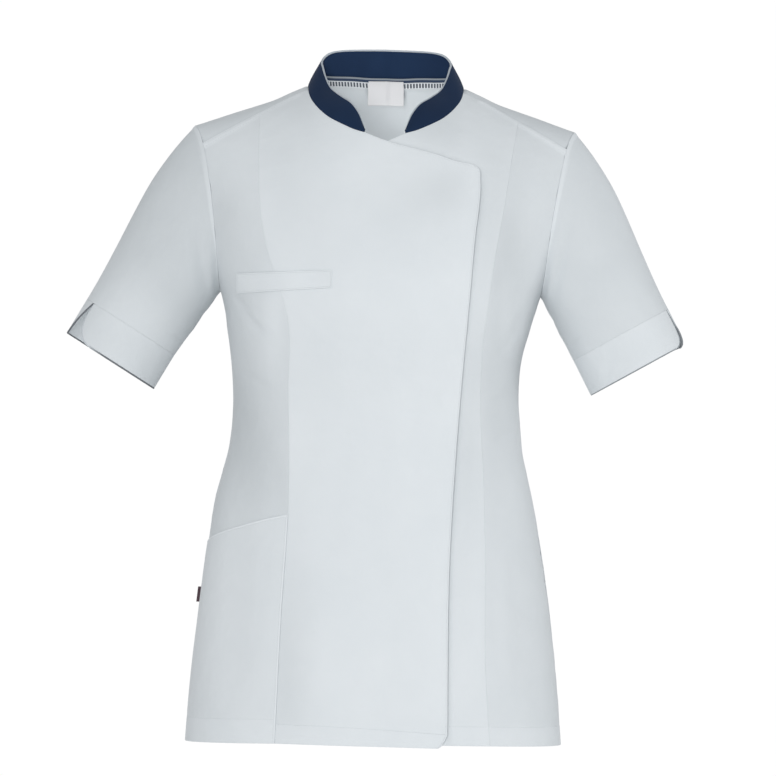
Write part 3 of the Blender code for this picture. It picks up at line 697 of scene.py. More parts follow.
def tapeLook(name, tape):
    look = Look(bpy.data.materials.new(name))
    place, u, v = look.uv()
    height = v / mm
    slub = look.noise(tape["slubScale"], vector=place)
    tone = tape["cloth"]
    for part, limit in tape["edges"].items():
        tone = look.mixed(height.over(limit), tone, tape[part])
    sewing = tape["stitches"]
    stitch = (u / mm + height * sewing["slant"]).pingPong(sewing["pitch"] / 2)
    stitch = stitch.over((sewing["pitch"] - sewing["length"]) / 2)
    zone = height.over(sewing["foot"]) - height.over(sewing["top"])
    tone = look.mixed(stitch * zone * sewing["cover"], tone, tape["thread"])
    look.set(Base_Color=look.mixed(slub * tape["slubShare"], tone, tape["slub"]))
    look.set(Roughness=slub * 0.1 + 0.8, Normal=look.bumped(slub, 0.3, 0.1 * mm), Sheen_Weight=0.1)
    return look.owner


looks["tape"] = tapeLook("tapeCloth", tapeCloth)
print("materials ready")

# Cloth in mesh code

edgeLines = (0, 0.3, 0.8, 1.5, 2.6, 4.2)  # millimetres from an edge
lineRoom = dict(stitch=0.7, least=0.25)  # millimetres beside a stitch line, and between lines
cloth = dict(
    **inMm(step=3.3, wall=0.8, gap=0.05, edgeRound=0.7, seamWidth=1.2, hemRise=0.35, hemSlope=1.5),
    **inMm(bandBefore=0.6, bandAfter=1.4, paleBefore=0.4, paleAfter=1.2),  # slopes at the edge of a fold
    **inMm(pucker=0.16, seamPucker=7, stitchPucker=5, stitchDepth=0.22, stitchWidth=0.7),
    **inMm(stitchLength=2.3, stitchPitch=3.0, stitchStart=1.5, stitchRoom=2, threadWidth=0.5, cutExtra=2),
    edgeDrop=0.45,
    puckerShift=0.3,
    hemLayers=0.4,
    threadTop=0.75,  # of half its width
    threadFoot=0.6,
    rectangle=0.985,  # the share of its box from which a cut counts as one
)


def edgeDistances(stitches):
    lines = set(edgeLines)
    for place in stitches:
        lines |= {place - lineRoom["stitch"], place, place + lineRoom["stitch"]}
    kept = []
    for line in sorted(lines):
        if not kept or line - kept[-1] > lineRoom["least"] or line in stitches:
            kept.append(line)
    return mm * np.array(kept)


def runs(points, axis):
    lengths = np.linalg.norm(np.diff(points, axis=axis), axis=-1)
    start = np.zeros_like(np.take(lengths, [0], axis=axis))
    return np.concatenate([start, np.cumsum(lengths, axis=axis)], axis=axis)


def runAlong(line):
    return runs(line[:, None], 0)[:, 0]


def readAt(where, places, rows):
    return np.stack([np.interp(where, places, column) for column in rows.T], axis=-1)


def joined(grid):  # the first column again after the last, for a piece that closes on itself
    return np.concatenate([grid, grid[:, :1]], axis=1)


def cornersOf(grid):  # the four corners of each cell
    return np.stack([grid[:-1, :-1], grid[:-1, 1:], grid[1:, 1:], grid[1:, :-1]], axis=2)


def evened(grid, surface, near, far, axis):  # lines at set distances from both edges, even between them
    if axis == 0:
        return evened(grid.swapaxes(0, 1), surface, near, far, 1).swapaxes(0, 1)
    run = runs(surface(grid[..., 0], grid[..., 1]), 1)
    margin = near[-1] + far[-1]
    count = max(round((run[:, -1].mean() - margin) / cloth["step"]), 1)
    between = np.arange(1, count) / count
    result = []
    for row, length in zip(grid, run):
        total = length[-1]
        inside = near[-1] + between * (total - margin)
        places = np.concatenate([near, inside, total - far[::-1]])
        result.append(readAt(places, length, row))
    return np.array(result)


rng = np.random.default_rng(7)
ripples = dict(count=7, rates=(60, 320), turn=6.28)  # in radians, a rate per metre
waves = [(rng.uniform(*ripples["rates"]), rng.uniform(0, ripples["turn"])) for k in range(ripples["count"])]


def ripple(along):  # uneven from -1 to 1 along a seam
    return sum(np.sin(along * rate + start) for rate, start in waves) / len(waves) ** 0.5


def fromEdges(points):  # for each edge, the distance from it and along it
    across, along = runs(points, 1), runs(points, 0)
    top = (along[-1:] - along, across)
    return {
        "start": (across, along),
        "end": (across[:, -1:] - across, along),
        "low": (along, across),
        "high": top,
        "yokeSeam": top,  # the first part of the upper edge of a centre front
    }


def shareOf(edge, beside):  # an edge's details may stop part of the way along it
    return ease(beside, edge["upTo"] + 2 * mm, edge["upTo"]) if "upTo" in edge else 1


def reliefOf(points, edges):  # a seam's value is its depth, a band's are its width and its rise
    total = np.zeros(points.shape[:2])
    distance = fromEdges(points)
    for name, edge in edges.items():
        away, beside = distance[name]
        height = np.zeros(points.shape[:2])
        if "seam" in edge:
            height -= edge["seam"] * mm * bell(away, cloth["seamWidth"])
            height += cloth["pucker"] * ripple(beside) * bell(away, cloth["seamPucker"])
        else:
            edgeRound = cloth["edgeRound"]
            height -= cloth["edgeDrop"] * edgeRound * np.maximum(1 - away / edgeRound, 0) ** 2
        if "band" in edge:
            wide, rise = mm * np.array(edge["band"])
            height += rise * ease(away, wide + cloth["bandAfter"], wide - cloth["bandBefore"])
        if "dip" in edge:
            wide, depth = mm * np.array(edge["dip"])
            height -= depth * ease(away, wide, 0)
        for place in edge.get("stitches", ()):
            off = away - place * mm
            height -= cloth["stitchDepth"] * bell(off, cloth["stitchWidth"])
            uneven = ripple(beside + cloth["puckerShift"])
            height += cloth["pucker"] * uneven * bell(off, cloth["stitchPucker"])
        if "hem" in edge:
            fold, slope = edge["hem"] * mm, cloth["hemSlope"]
            height += cloth["hemRise"] * ease(away, fold + slope, fold - slope)
        total += height * shareOf(edge, beside)
    return total


def layersAndShadeOf(points, edges, base, paintedShading=()):  # where the cloth lies in two layers, plus patches of painted shade and painted light, on base shares that are partly painted shade
    layersAndShade = np.full(points.shape[:2], float(base))
    # each patch adds painted light, or painted shade where its amount is negative
    for x, z, wide, high, amount in paintedShading:
        offX, offZ = points[..., 0] / mm - x, points[..., 2] / mm - z
        layersAndShade += amount * np.exp(-((offX / wide) ** 2) - (offZ / high) ** 2)
    distance = fromEdges(points)
    for name, edge in edges.items():
        away, beside = distance[name]
        for wide, share in ((edge.get("band", (0,))[0], 1), (edge.get("hem", 0), cloth["hemLayers"])):
            if wide:
                fade = ease(away, wide * mm + cloth["paleAfter"], wide * mm - cloth["paleBefore"])
                layersAndShade += share * shareOf(edge, beside) * fade * (1 - layersAndShade)
    return np.clip(layersAndShade, 0, 1)


def addPiece(name, verts, faces, uvs, look, node=None, layersAndShade=None):
    mesh = bpy.data.meshes.new(name)
    mesh.from_pydata([tuple(v) for v in verts], [], faces)
    layer = mesh.uv_layers.new(name="cloth")
    layer.data.foreach_set("uv", np.asarray(uvs, np.float32).ravel())
    if layersAndShade is not None:
        mesh.attributes.new("layersAndShade", "FLOAT", "POINT").data.foreach_set("value", np.float32(layersAndShade))
    mesh.materials.append(looks[look])
    mesh.shade_smooth()
    piece = bpy.data.objects.new(name, mesh)
    scene.collection.objects.link(piece)
    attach(piece, "root")
    if node:
        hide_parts(node)
    return piece


def drawnIn(points, closed=False):  # leaves a hair's gap between two pieces
    def pull(edge, inside):
        return cloth["gap"] * unit(inside - edge)

    result = points.copy()
    result[0] += pull(points[0], points[1])
    result[-1] += pull(points[-1], points[-2])
    if not closed:
        result[:, 0] += pull(points[:, 0], points[:, 1])
        result[:, -1] += pull(points[:, -1], points[:, -2])
    return result


def shell(name, outer, normals, wall, look, node, slot, layersAndShade=1, inside=None, closed=False, held="draped"):
    rows, cols = outer.shape[:2]
    sides = layersAndShade, layersAndShade if inside is None else inside
    layersAndShade = np.concatenate([np.broadcast_to(side, (rows, cols)).ravel() for side in sides])
    verts = np.concatenate([outer.reshape(-1, 3), (outer - normals * wall).reshape(-1, 3)])
    far = rows * cols
    index, wide = np.arange(far).reshape(rows, cols), outer
    if closed:
        index, wide = joined(index), joined(outer)
    facing = np.cross(outer[1, 1] - outer[1, 0], outer[2, 0] - outer[1, 0]) @ normals[1, 0]
    turn = 1 if facing > 0 else -1
    ring = cornersOf(index).reshape(-1, 4)[:, ::turn]
    quads = [ring, ring[:, ::-1] + far]
    borders = [(index[0, :-1], index[0, 1:]), (index[-1, 1:], index[-1, :-1])]
    if not closed:
        borders += [(index[1:, 0], index[:-1, 0]), (index[:-1, -1], index[1:, -1])]
    for first, second in borders:
        quads.append(np.stack([second, first, first + far, second + far], axis=-1)[:, ::turn])
    quads = np.concatenate(quads)
    across, along = runs(wide, 1), runs(wide, 0)
    flatUv = np.stack([across, along], axis=-1)
    if closed:
        uvRing = cornersOf(flatUv).reshape(-1, 4, 2)[:, ::turn]
        rest = flatUv[:, :-1].reshape(-1, 2)[quads[2 * len(ring) :] % far]
        uvs = np.concatenate([uvRing, uvRing[:, ::-1], rest])
    else:
        uvs = flatUv.reshape(-1, 2)[quads % far]
    piece = addPiece(name, verts, quads.tolist(), uvs, look, node, layersAndShade)
    width, length = float(across[:, -1].max()), float(along[-1].max())
    cells = np.linalg.norm(np.cross(wide[1:, 1:] - wide[:-1, :-1], wide[1:, :-1] - wide[:-1, 1:]), axis=-1)
    area = float(cells.sum() / 2)
    flat = (round(width + cloth["cutExtra"], 3), round(length + cloth["cutExtra"], 3))
    rectangle = area > cloth["rectangle"] * flat[0] * flat[1]
    print(name, "cut", flat, "area", round(area, 4))


stitchFaces = (0, 4, 2), (2, 4, 1), (1, 4, 3), (3, 4, 0), (0, 2, 5), (2, 1, 5), (1, 3, 5), (3, 0, 5)


def stitchRun(points, normals):
    run = runAlong(points)
    count = int((run[-1] - cloth["stitchRoom"]) / cloth["stitchPitch"])
    centres = cloth["stitchStart"] + cloth["stitchPitch"] * (np.arange(count) + 0.5)
    half, wide = cloth["stitchLength"] / 2, cloth["threadWidth"] / 2
    start, middle, end = (readAt(centres + off, run, points) for off in (-half, 0, half))
    up = unit(readAt(centres, run, normals))
    aside = unit(np.cross(end - start, up)) * wide
    top, foot = middle + up * cloth["threadTop"] * wide, middle - up * cloth["threadFoot"] * wide
    verts = np.stack([start, end, middle + aside, middle - aside, top, foot], axis=1)
    faces = np.arange(count)[:, None, None] * verts.shape[1] + np.array(stitchFaces)
    return verts.reshape(-1, 3), faces.reshape(-1, 3)


def sewn(name, lines):  # all the stitches of a panel as one piece
    verts, faces = np.zeros((0, 3)), np.zeros((0, 3), int)
    for points, normals in lines:
        moreVerts, moreFaces = stitchRun(points, normals)
        faces = np.concatenate([faces, moreFaces + len(verts)])
        verts = np.concatenate([verts, moreVerts])
    uvs = np.stack([verts[:, 0] + verts[:, 1], verts[:, 2]], axis=-1)[faces]
    addPiece(name, verts, faces.tolist(), uvs, "thread")


press = {  # where the left front gives way under the overlap: at its free edge and at its upper edge
    "side": inMm(depth=2, inside=1, width=3.2, fadeFrom=-80, fadeTo=-92),
    "top": inMm(depth=1.2, inside=1.5, width=3, fadeFrom=100, fadeTo=94),
}


def pressed(points):
    x, z = points[..., 0], points[..., 2]
    places = {"side": (x - overlapEdge(z), z), "top": (z - overlapTopHeight(x), x)}
    total = 0
    for name, (away, beside) in places.items():
        edge = press[name]
        fade = ease(beside, edge["fadeFrom"], edge["fadeTo"])
        total = total + edge["depth"] * bell(away + edge["inside"], edge["width"]) * fade
    return total


def edgeLine(grid, name, index):
    sides = {"start": grid[:, index], "end": grid[:, -1 - index], "low": grid[index]}
    return sides.get(name, grid[-1 - index])


def panelCloth(
    node, grid, surface, edges, slot, base, paintedShading=(), moved=None, sunk=None, lift=0, wall=cloth["wall"]
):
    sewing = {name: edge.get("stitches", ()) for name, edge in edges.items()}
    onTop = sewing["high"] + sewing.get("yokeSeam", ())
    sewnAt = {**sewing, "high": onTop, "yokeSeam": onTop}
    near = {name: edgeDistances(places) for name, places in sewnAt.items()}
    plain = (lambda u, v: moved(surface(u, v))) if moved else surface
    grid = evened(grid, plain, near["start"], near["end"], 1)
    grid = evened(grid, plain, near["low"], near["high"], 0)
    points, normals = bodyCloth(grid) if surface is bodyPoint else shoulderCloth(grid)
    if moved:
        points = moved(points)
    height = reliefOf(points, edges) + lift
    if sunk:
        height -= sunk(points)
    outer = points + normals * height[..., None]
    lines = []
    for name, edge in edges.items():
        for place in sewing[name]:
            index = int(np.argmin(np.abs(near[name] - place * mm)))
            line, out = (edgeLine(values, name, index) for values in (outer, normals))
            kept = runAlong(line) < edge.get("upTo", math.inf)
            lines.append((line[kept], out[kept]))
    layersAndShade = layersAndShadeOf(points, edges, base, paintedShading)
    shell(f"cloth_{node}", drawnIn(outer), normals, wall, "white", node, slot, layersAndShade)
    if lines:
        sewn(f"stitches_{node}", lines)


plainSeam, free = {"seam": 0.25}, {}
armholeSeam, princessSeam = {"seam": 0.08}, {"seam": 0.12}
hem = {"stitches": (20,), "hem": 20}
yokeEdge = {"seam": 0.2, "stitches": (1.6, 6.4), "band": (7, 0.6)}
fronts = {  # patches of painted light and painted shade: x, z, width, height and amount
    rightHand: {
        "word": "right",
        # the base shares of the lighter colour follow the layers of cloth in part, and in part are painted
        # shade and painted light that differ from side to side
        "sideLayersAndShade": 0.48,
        "sidePaintedShading": (
            (-150, -60, 50, 45, 0.3),
            (-112, -250, 14, 60, 0.4),
            (-128, -395, 30, 48, -0.3),
            (-165, -140, 18, 30, -0.25),
            (-140, -345, 26, 50, -0.3),
        ),
        "layersAndShade": 0.93,
        "paintedShading": (
            (-100, -110, 42, 75, -0.26),
            (20, -130, 60, 45, -0.14),
            (62, -110, 30, 24, -0.3),
            (-84, -24, 24, 20, -0.3),
            (-96, -610, 26, 130, -0.42),
        ),
        "free": {"stitches": (1.6,), "dip": (5, -0.9)},
        "top": {"stitches": (1.6,), "band": (1.4, 0.1)},
        "yokeStitches": (6.4,),  # the top edge has the nearer line
        "moved": lifted,
        "sunk": None,
    },
    leftHand: {
        "word": "left",
        "sideLayersAndShade": 0.62,
        "sidePaintedShading": ((130, -320, 26, 55, -0.25), (128, -165, 24, 60, -0.45), (112, -350, 16, 110, -0.2)),
        "layersAndShade": 0.8,
        "paintedShading": ((112, -130, 26, 70, -0.3), (92, -350, 20, 110, -0.3), (54, -38, 30, 26, -0.35)),
        "free": free,
        "top": free,
        "yokeStitches": (1.6, 6.4),
        "moved": None,
        "sunk": pressed,
    },
}
for hand, front in fronts.items():
    word, grid = front["word"], sideFrontGrid(hand)
    edges = {"start": armholeSeam, "end": princessSeam, "low": hem, "high": yokeEdge}
    panelCloth(f"front_{word}_side", grid, bodyPoint, edges, "side", front["sideLayersAndShade"], front["sidePaintedShading"])
    edges = {"start": princessSeam, "end": front["free"], "low": hem, "high": front["top"]}
    edges["yokeSeam"] = {"stitches": front["yokeStitches"], "band": (7, 0.6), "upTo": 48 * mm}
    settings = front["layersAndShade"], front["paintedShading"], front["moved"], front["sunk"]
    panelCloth(f"front_{word}", centreFrontGrid(hand), bodyPoint, edges, "white", *settings)
# base shares of the lighter colour; the yoke's low share darkens it as painted shade
baseLayersAndShade = {"back": 0.7, "yoke": 0.38}
sides = {"start": armholeSeam, "end": armholeSeam}
edges = {**sides, "low": hem, "high": yokeEdge}
panelCloth("back", backGrid(), bodyPoint, edges, "white", baseLayersAndShade["back"])
edges = {**sides, "low": {"seam": 0.2, "dip": (10, 1.2)}, "high": plainSeam}
panelCloth("yoke", yokeGrid(), shoulderPoint, edges, "side", baseLayersAndShade["yoke"])
print("body panels ready")

# Sleeves and their bands

# the right sleeve and its band get a lower share of the lighter colour than the left ones: painted shade
sleeves = {
    rightHand: {
        "word": "right",
        "outer": (-329.5, -263.2),
        "inner": (-237, -320.3),
        "lean": 30,
        "slit": (36, 4),
        "layersAndShade": 0.2,
        "bandLayersAndShade": 0.64,
        "cornerRound": 27 * mm,
        "backRound": 6 * mm,
        "pipingRadius": 0.95 * mm,
        "slitPiping": 1.0,
        "paleHem": 0.08,
        "paleTop": 0,
    },
    leftHand: {
        "word": "left",
        "outer": (319, -263.3),
        "inner": (220.8, -319.5),
        "lean": 27.6,
        "slit": (18, -10),
        "layersAndShade": 0.46,
        "bandLayersAndShade": 0.86,
        "cornerRound": 20 * mm,
        "backRound": 15 * mm,
        "pipingRadius": 0.55 * mm,
        "slitPiping": 2.4,
        "paleHem": 0.4,
        "paleTop": 1,
    },
}
sleeve = dict(
    **inMm(depth=57, forward=5, cap=8, band=40, slant=1, turnBefore=0.6, turnAfter=1),
    rows=50,
    turnWidth=(1.2, 4.2),  # the seam's allowance, in millimetres: at the armpit, and more on top
    turnFrom=(0.15, 0.6),
    turnRise=(0.15, 0.35),
    turnLayers=0.4,
    lowLayers=0.6,  # the share grows towards the band, so the lower sleeve takes a lighter colour
    lowFrom=0.55,
)
band = dict(
    wall=1.5 * mm,
    slitTop=3.5,
    columns=130,
    evenRows=(28 * mm, 8),
    hemRows=(31, 33.5, 35.5, 37, 38.2, 39, 39.6, 39.9, 40),  # millimetres down from its seam
    pale=(14, -2),  # columns of the piping's line from the end of the flap's edge
    paleTop=(-13, -9),  # and from the end of the line
    swell=(-12, 0),  # and from where the slit's back edge begins
    thinTop=0.55,
)
bandSeam = {"seam": 0.04}
sleeveCreases = (  # angle from the outside to the back, share down the sleeve, widths, depth, slant
    (100, 0.16, 24, 0.07, -1.6, 10),
    (128, 0.24, 22, 0.06, 1.2, 14),
    (150, 0.10, 26, 0.06, -1.5, -8),
    (-104, 0.20, 24, 0.07, -1.6, -12),
    (-132, 0.12, 22, 0.06, 1.2, -10),
    (-60, 0.55, 30, 0.10, -0.9, 20),
    (60, 0.60, 30, 0.10, -0.9, -20),
    (178, 0.36, 26, 0.07, -0.7, 0),
    (170, 0.58, 24, 0.06, 0.4, 8),
    (-150, 0.80, 22, 0.05, -0.9, 8),
    (20, 0.35, 34, 0.12, 0.8, 0),
)

bandCreases = {  # the same, but height above the hem in millimetres
    rightHand: ((96, 22, 9, 12, 0.35, 8), (134, 14, 6, 10, -0.4, -6), (-110, 20, 7, 12, -0.5, 8)),
    leftHand: (
        (108, 18, 5, 13, 0.55, -12),
        (119, 16, 4.5, 12, -0.7, -10),
        (131, 20, 5, 12, 0.6, -9),
        (146, 24, 6, 10, -0.4, -6),
        (-120, 20, 7, 12, -0.5, 8),
    ),
}


def cuffPoint(hand, angle, above):
    size = sleeves[hand]
    outer, inner = mm * np.array(size["outer"]), mm * np.array(size["inner"])
    lean = math.radians(size["lean"])
    angle, above = np.broadcast_arrays(angle, above)
    along = above + sleeve["slant"] * np.sin(angle)
    middle, reach = (outer + inner) / 2, (outer - inner) / 2
    x = middle[0] + reach[0] * np.cos(angle) - along * hand * math.sin(lean)
    z = middle[1] + reach[1] * np.cos(angle) + along * math.cos(lean)
    return np.stack([x, -sleeve["forward"] - sleeve["depth"] * np.sin(angle), z], axis=-1)


def sleevePoints(hand):
    angles = -2 * math.pi * armholePlaces / steps["armhole"]
    start = shoulderPoint(*armholeRolls(hand, armholePlaces).T)
    end = cuffPoint(hand, angles, sleeve["band"])
    length = np.linalg.norm(end - start, axis=-1).mean()
    near = edgeDistances(()) / length
    t = np.concatenate([near, np.linspace(near[-1], 1 - near[-1], sleeve["rows"])[1:-1], 1 - near[::-1]])
    t = t[:, None, None]
    lean = math.radians(sleeves[hand]["lean"])
    cap = sleeve["cap"] * 27 / 4 * t * (1 - t) ** 2  # highest a third of the way down
    cap = cap * np.maximum(np.cos(angles), 0)[None, :, None] ** 2
    grid = (1 - t) * start + t * end + cap * np.array([hand * math.cos(lean), 0, math.sin(lean)])
    return grid, np.degrees(-angles), t[..., 0]


def mitred(normals, beside):  # turned so that two pieces meet at one angle
    part = np.clip(np.sum(beside * normals, axis=-1, keepdims=True) + 1, 0, 1)
    return unit(normals + part * beside)


def creased(degrees, along, creases):
    height = 0
    for angle, place, spread, length, depth, slant in creases:
        rise = (along - place) / length
        off = (degrees - angle - slant * rise + 180) % 360 - 180
        height = height + depth * mm * np.exp(-((off / spread) ** 2) - rise**2)
    return height


def sleeveCloth(hand, size):
    points, degrees, t = sleevePoints(hand)
    normals = rolledNormals(points, closed=True)
    beside = shoulderCloth(armholeRolls(hand, armholePlaces))[1]
    beside[-1] = (hand, 0, 0)
    normals[0] = mitred(normals[0], beside)
    height = reliefOf(points, {"low": armholeSeam, "high": bandSeam})
    upper = np.clip(np.cos(np.radians(degrees)) * 0.5 + 0.5, 0, 1)
    (least, more), (low, rise) = sleeve["turnWidth"], sleeve["turnRise"]
    width = (least + more * ease(upper, *sleeve["turnFrom"])) * mm
    onTurn = ease(runs(points, 0), width + sleeve["turnAfter"], width - sleeve["turnBefore"])
    height = height + onTurn * (low + rise * upper) * mm
    toLow = (sleeve["lowLayers"] - size["layersAndShade"]) * ease(t, sleeve["lowFrom"], 1)
    layersAndShade = size["layersAndShade"] + toLow + sleeve["turnLayers"] * onTurn
    height = height + creased(degrees, t, sleeveCreases)
    outer = drawnIn(points + normals * height[..., None], closed=True)
    node = f"sleeve_{size['word']}"
    shell(f"cloth_{node}", outer, normals, cloth["wall"], "white", node, "side", layersAndShade, closed=True)


def bandCloth(hand, size):
    even = np.linspace(edgeLines[-1] * mm, *band["evenRows"])[1:]
    levels = sleeve["band"] - np.concatenate([edgeDistances(()), even, mm * np.array(band["hemRows"])])
    front, rear = size["slit"]
    begin = np.radians(front) + rounded(levels, size["cornerRound"]) / sleeve["depth"]
    lastAngle = 360 + rear + levels / sleeve["band"] * (front - band["slitTop"] - rear)
    stop = np.radians(lastAngle) - rounded(levels, size["backRound"]) / sleeve["depth"]
    edgeShare = np.array(edgeLines[1:-1]) * mm / (2 * math.pi * sleeve["depth"])
    share = np.sort(np.concatenate([np.linspace(0, 1, band["columns"] + 1), edgeShare, 1 - edgeShare]))
    angles = begin[:, None] * (1 - share) + stop[:, None] * share
    points = cuffPoint(hand, angles, levels[:, None])
    normals = rolledNormals(points)
    height = reliefOf(points, {"low": bandSeam, "high": free, "start": free, "end": free})
    height += creased(np.degrees(angles), levels[:, None] / mm, bandCreases[hand])
    outer = drawnIn(points + normals * height[..., None])
    node = f"cuff_{size['word']}"
    settings = band["wall"], "white", node, "white", size["bandLayersAndShade"]
    shell(f"cloth_{node}", outer, normals, *settings, inside=1)
    line, out = (np.concatenate([side[:-1, 0], side[-1], side[-2::-1, -1]]) for side in (points, normals))
    places, slit = np.arange(len(line)), len(line) - len(points)
    pale = ease(places, *(len(points) + k for k in band["pale"]))
    paleTop = size["paleTop"] * ease(places, *(len(line) + k for k in band["paleTop"]))
    swell = 1 + (size["slitPiping"] - 1) * ease(places, *(slit + k for k in band["swell"]))
    radius = size["pipingRadius"] * swell * (1 - band["thinTop"] * paleTop)
    return line, out, radius, np.maximum(np.maximum(pale, paleTop), size["paleHem"])


bandEdges = {}
for hand, size in sleeves.items():
    sleeveCloth(hand, size)
    bandEdges[hand] = bandCloth(hand, size)
print("sleeves ready")

# Piping, as thin tubes beside an edge

piping = dict(
    **inMm(radius=1.1, gap=-0.25, step=1.6),  # the cord is caught in the seam, so its gap is negative
    sides=10,
    sideArc=0.6,  # of the radius
    uneven=0.05,
    unevenRate=3,
)


def pipingTube(name, edge, normals, wall, side, look, node, slot, radius, pale=None):
    away = side * unit(np.cross(np.gradient(edge, axis=0), normals))
    radius = np.broadcast_to(radius, len(edge))
    path = edge - normals * wall / 2 + away * (radius[:, None] + piping["gap"])
    path[0] += 2 * radius[0] * unit(path[1] - path[0])
    path[-1] += 2 * radius[-1] * unit(path[-2] - path[-1])
    run = runAlong(path)
    where = np.linspace(0, run[-1], int(run[-1] / piping["step"]))
    path, out, off = (readAt(where, run, values) for values in (path, normals, away))
    angles = np.linspace(0, 2 * math.pi, piping["sides"], endpoint=False)[:, None]
    ring = np.cos(angles) * out[:, None] + np.sin(angles) * off[:, None]
    thick = np.interp(where, run, radius) * (1 + piping["uneven"] * ripple(where * piping["unevenRate"]))
    grid = path[:, None] + thick[:, None, None] * ring
    rows, cols = grid.shape[:2]
    index = joined(np.arange(rows * cols).reshape(rows, cols))
    facing = np.cross(grid[1, 1] - grid[1, 0], grid[2, 0] - grid[1, 0]) @ (grid[1, 0] - path[1])
    turn = -1 if facing < 0 else 1
    uvs = np.stack(np.meshgrid(np.arange(cols + 1) * radius.mean() * piping["sideArc"], where), axis=-1)
    quads, uvQuads = cornersOf(index).reshape(-1, 4)[:, ::turn], cornersOf(uvs).reshape(-1, 4, 2)[:, ::turn]
    caps = index[0, :-1][::-turn], index[-1, :-1][::turn]
    uvList = np.concatenate([uvQuads.reshape(-1, 2), np.zeros((2 * cols, 2))])
    layersAndShade = None if pale is None else np.repeat(np.interp(where, run, pale), cols)
    faces = quads.tolist() + [cap.tolist() for cap in caps]
    addPiece(name, grid.reshape(-1, 3), faces, uvList, look, node, layersAndShade)


for hand, (line, out, radius, pale) in bandEdges.items():
    node = f"cuff_piping_{sleeves[hand]['word']}"
    settings = band["wall"], -hand, "darkPiping", node, "dark_piping", radius, pale
    pipingTube(f"cloth_{node}", line, out, *settings)

# Collar and what lies inside the neck

collar = dict(rows=16, closeRows=(0.008, 0.02, 0.04), **inMm(wall=2.2, gap=0.15))


def collarPoints():
    halves = []
    for hand in (rightHand, leftHand):
        neck = shoulderPoint(*neckAt(hand, collarNeck))
        out, back, height = (at(collarNeck) for at in rimAt)
        rim = np.stack([hand * out, back, height], axis=-1)
        half = np.stack([neck + collar["gap"] * unit(rim - neck), rim])
        halves.append(lifted(half) if hand == rightHand else half)
    neck, rim = np.concatenate([halves[0], halves[1][:, -2::-1]], axis=1)
    close = np.array(collar["closeRows"])
    v = np.sort(np.concatenate([np.linspace(0, 1, collar["rows"] + 1), close, 1 - close]))[:, None, None]
    flat = (1 - v) * neck + v * rim
    return flat + rolledNormals(flat) * body["collarBulge"] * np.sin(math.pi * v)


points = collarPoints()
normals = rolledNormals(points)
collarEdge = points[-1], normals[-1].copy()
beside = [shoulderCloth(np.stack(neckAt(hand, collarNeck), axis=-1))[1] for hand in (rightHand, leftHand)]
normals[0] = mitred(normals[0], np.concatenate([beside[0], beside[1][-2::-1]]))
height = reliefOf(points, {"low": {"seam": 0.3}, "high": free, "start": free, "end": free})
outer = points + normals * height[..., None]
shell("cloth_collar", outer, normals, collar["wall"], "navy", "collar", "navy")
settings = collar["wall"], 1, "palePiping", "collar_piping", "pale_piping", piping["radius"]
pipingTube("cloth_collar_piping", *collarEdge, *settings)

tape = dict(columns=120, rows=14, **inMm(half=68, low=-4.2, high=6.7, sideRise=3.2, wall=0.25, gap=0.35))
tapeAway = collar["wall"] + tape["gap"]
neck, rim = points[[0, -1]]
middle = (np.abs(neck[:, 0]) < tape["half"]) & (neck[:, 1] > 0)
along, across = np.linspace(0, 1, middle.sum()), np.linspace(0, 1, tape["columns"])
neckLine, upward, outward = (
    readAt(across, along, line[middle])
    for line in (neck, unit(rim - neck), rolledNormals(np.stack([neck, rim]))[0])
)
heights = np.linspace(tape["low"], tape["high"], tape["rows"])[:, None]
heights = (heights + tape["sideRise"] * (neckLine[:, 0] / tape["half"]) ** 2)[..., None]
outer = neckLine + heights * upward - tapeAway * outward
inward = np.broadcast_to(-outward, outer.shape)
shell("cloth_neck_tape", outer, inward, tape["wall"], "tape", "neck_tape", "white")

label = dict(
    **inMm(half=19, top=2.2, bottom=22, forward=3.3, wall=0.4, gap=0.15, curl=0.5),
    lean=0.12,
    curlRate=90,  # radians per metre
    curlStart=0.6,
    columns=40,
    rows=16,
    sewnOn=(0.2, 1.2, 2.4, 3.6),  # millimetres up the tape: the upper strip lies on it
)
x = np.linspace(-label["half"], label["half"], label["columns"])
base, up, out = (readAt(x, neckLine[:, 0], values) for values in (neckLine, upward, outward))
down = np.linspace(label["bottom"], label["top"], label["rows"])[:, None]
curl = label["curl"] * np.cos(x * label["curlRate"] + label["curlStart"]) * down / label["bottom"]
y = base[:, 1] - label["forward"] + label["lean"] * down + curl
panel = np.stack([np.broadcast_to(x, y.shape), y, base[:, 2] - down], axis=-1)
sewnOn = mm * np.array(label["sewnOn"])[:, None, None]
strip = base + sewnOn * up - (tapeAway + label["wall"] + label["gap"]) * out
normals = [np.broadcast_to((0, -1.0, 0), panel.shape), np.broadcast_to(-out, strip.shape)]
outer, normals = np.concatenate([panel, strip]), np.concatenate(normals)
shell("cloth_neck_label", outer, normals, label["wall"], "label", "neck_label", "label")
print("collar and neck ready")

# Welt, pocket and tag on the right front

weltEnds = rowsOf("across top bottom", (-151, -199.5, -220.5), (-52, -195, -213.5))
# the welt's patch lightens its right part: painted light
welt = dict(columns=60, rows=12, layersAndShade=0.78, paintedShading=((-82, -200, 26, 30, 0.2),), **inMm(lift=1.6, wall=1))
x = np.linspace(*weltEnds["across"], welt["columns"])
top, bottom = (np.interp(x, weltEnds["across"], weltEnds[name]) for name in ("top", "bottom"))
grid = onFront(x, np.linspace(bottom, top, welt["rows"]))
edges = {name: {"stitches": (1.6,)} for name in ("start", "end", "low", "high")}
settings = welt["paintedShading"], lifted, None, welt["lift"], welt["wall"]
panelCloth("breast_welt", grid, bodyPoint, edges, "white", welt["layersAndShade"], *settings)

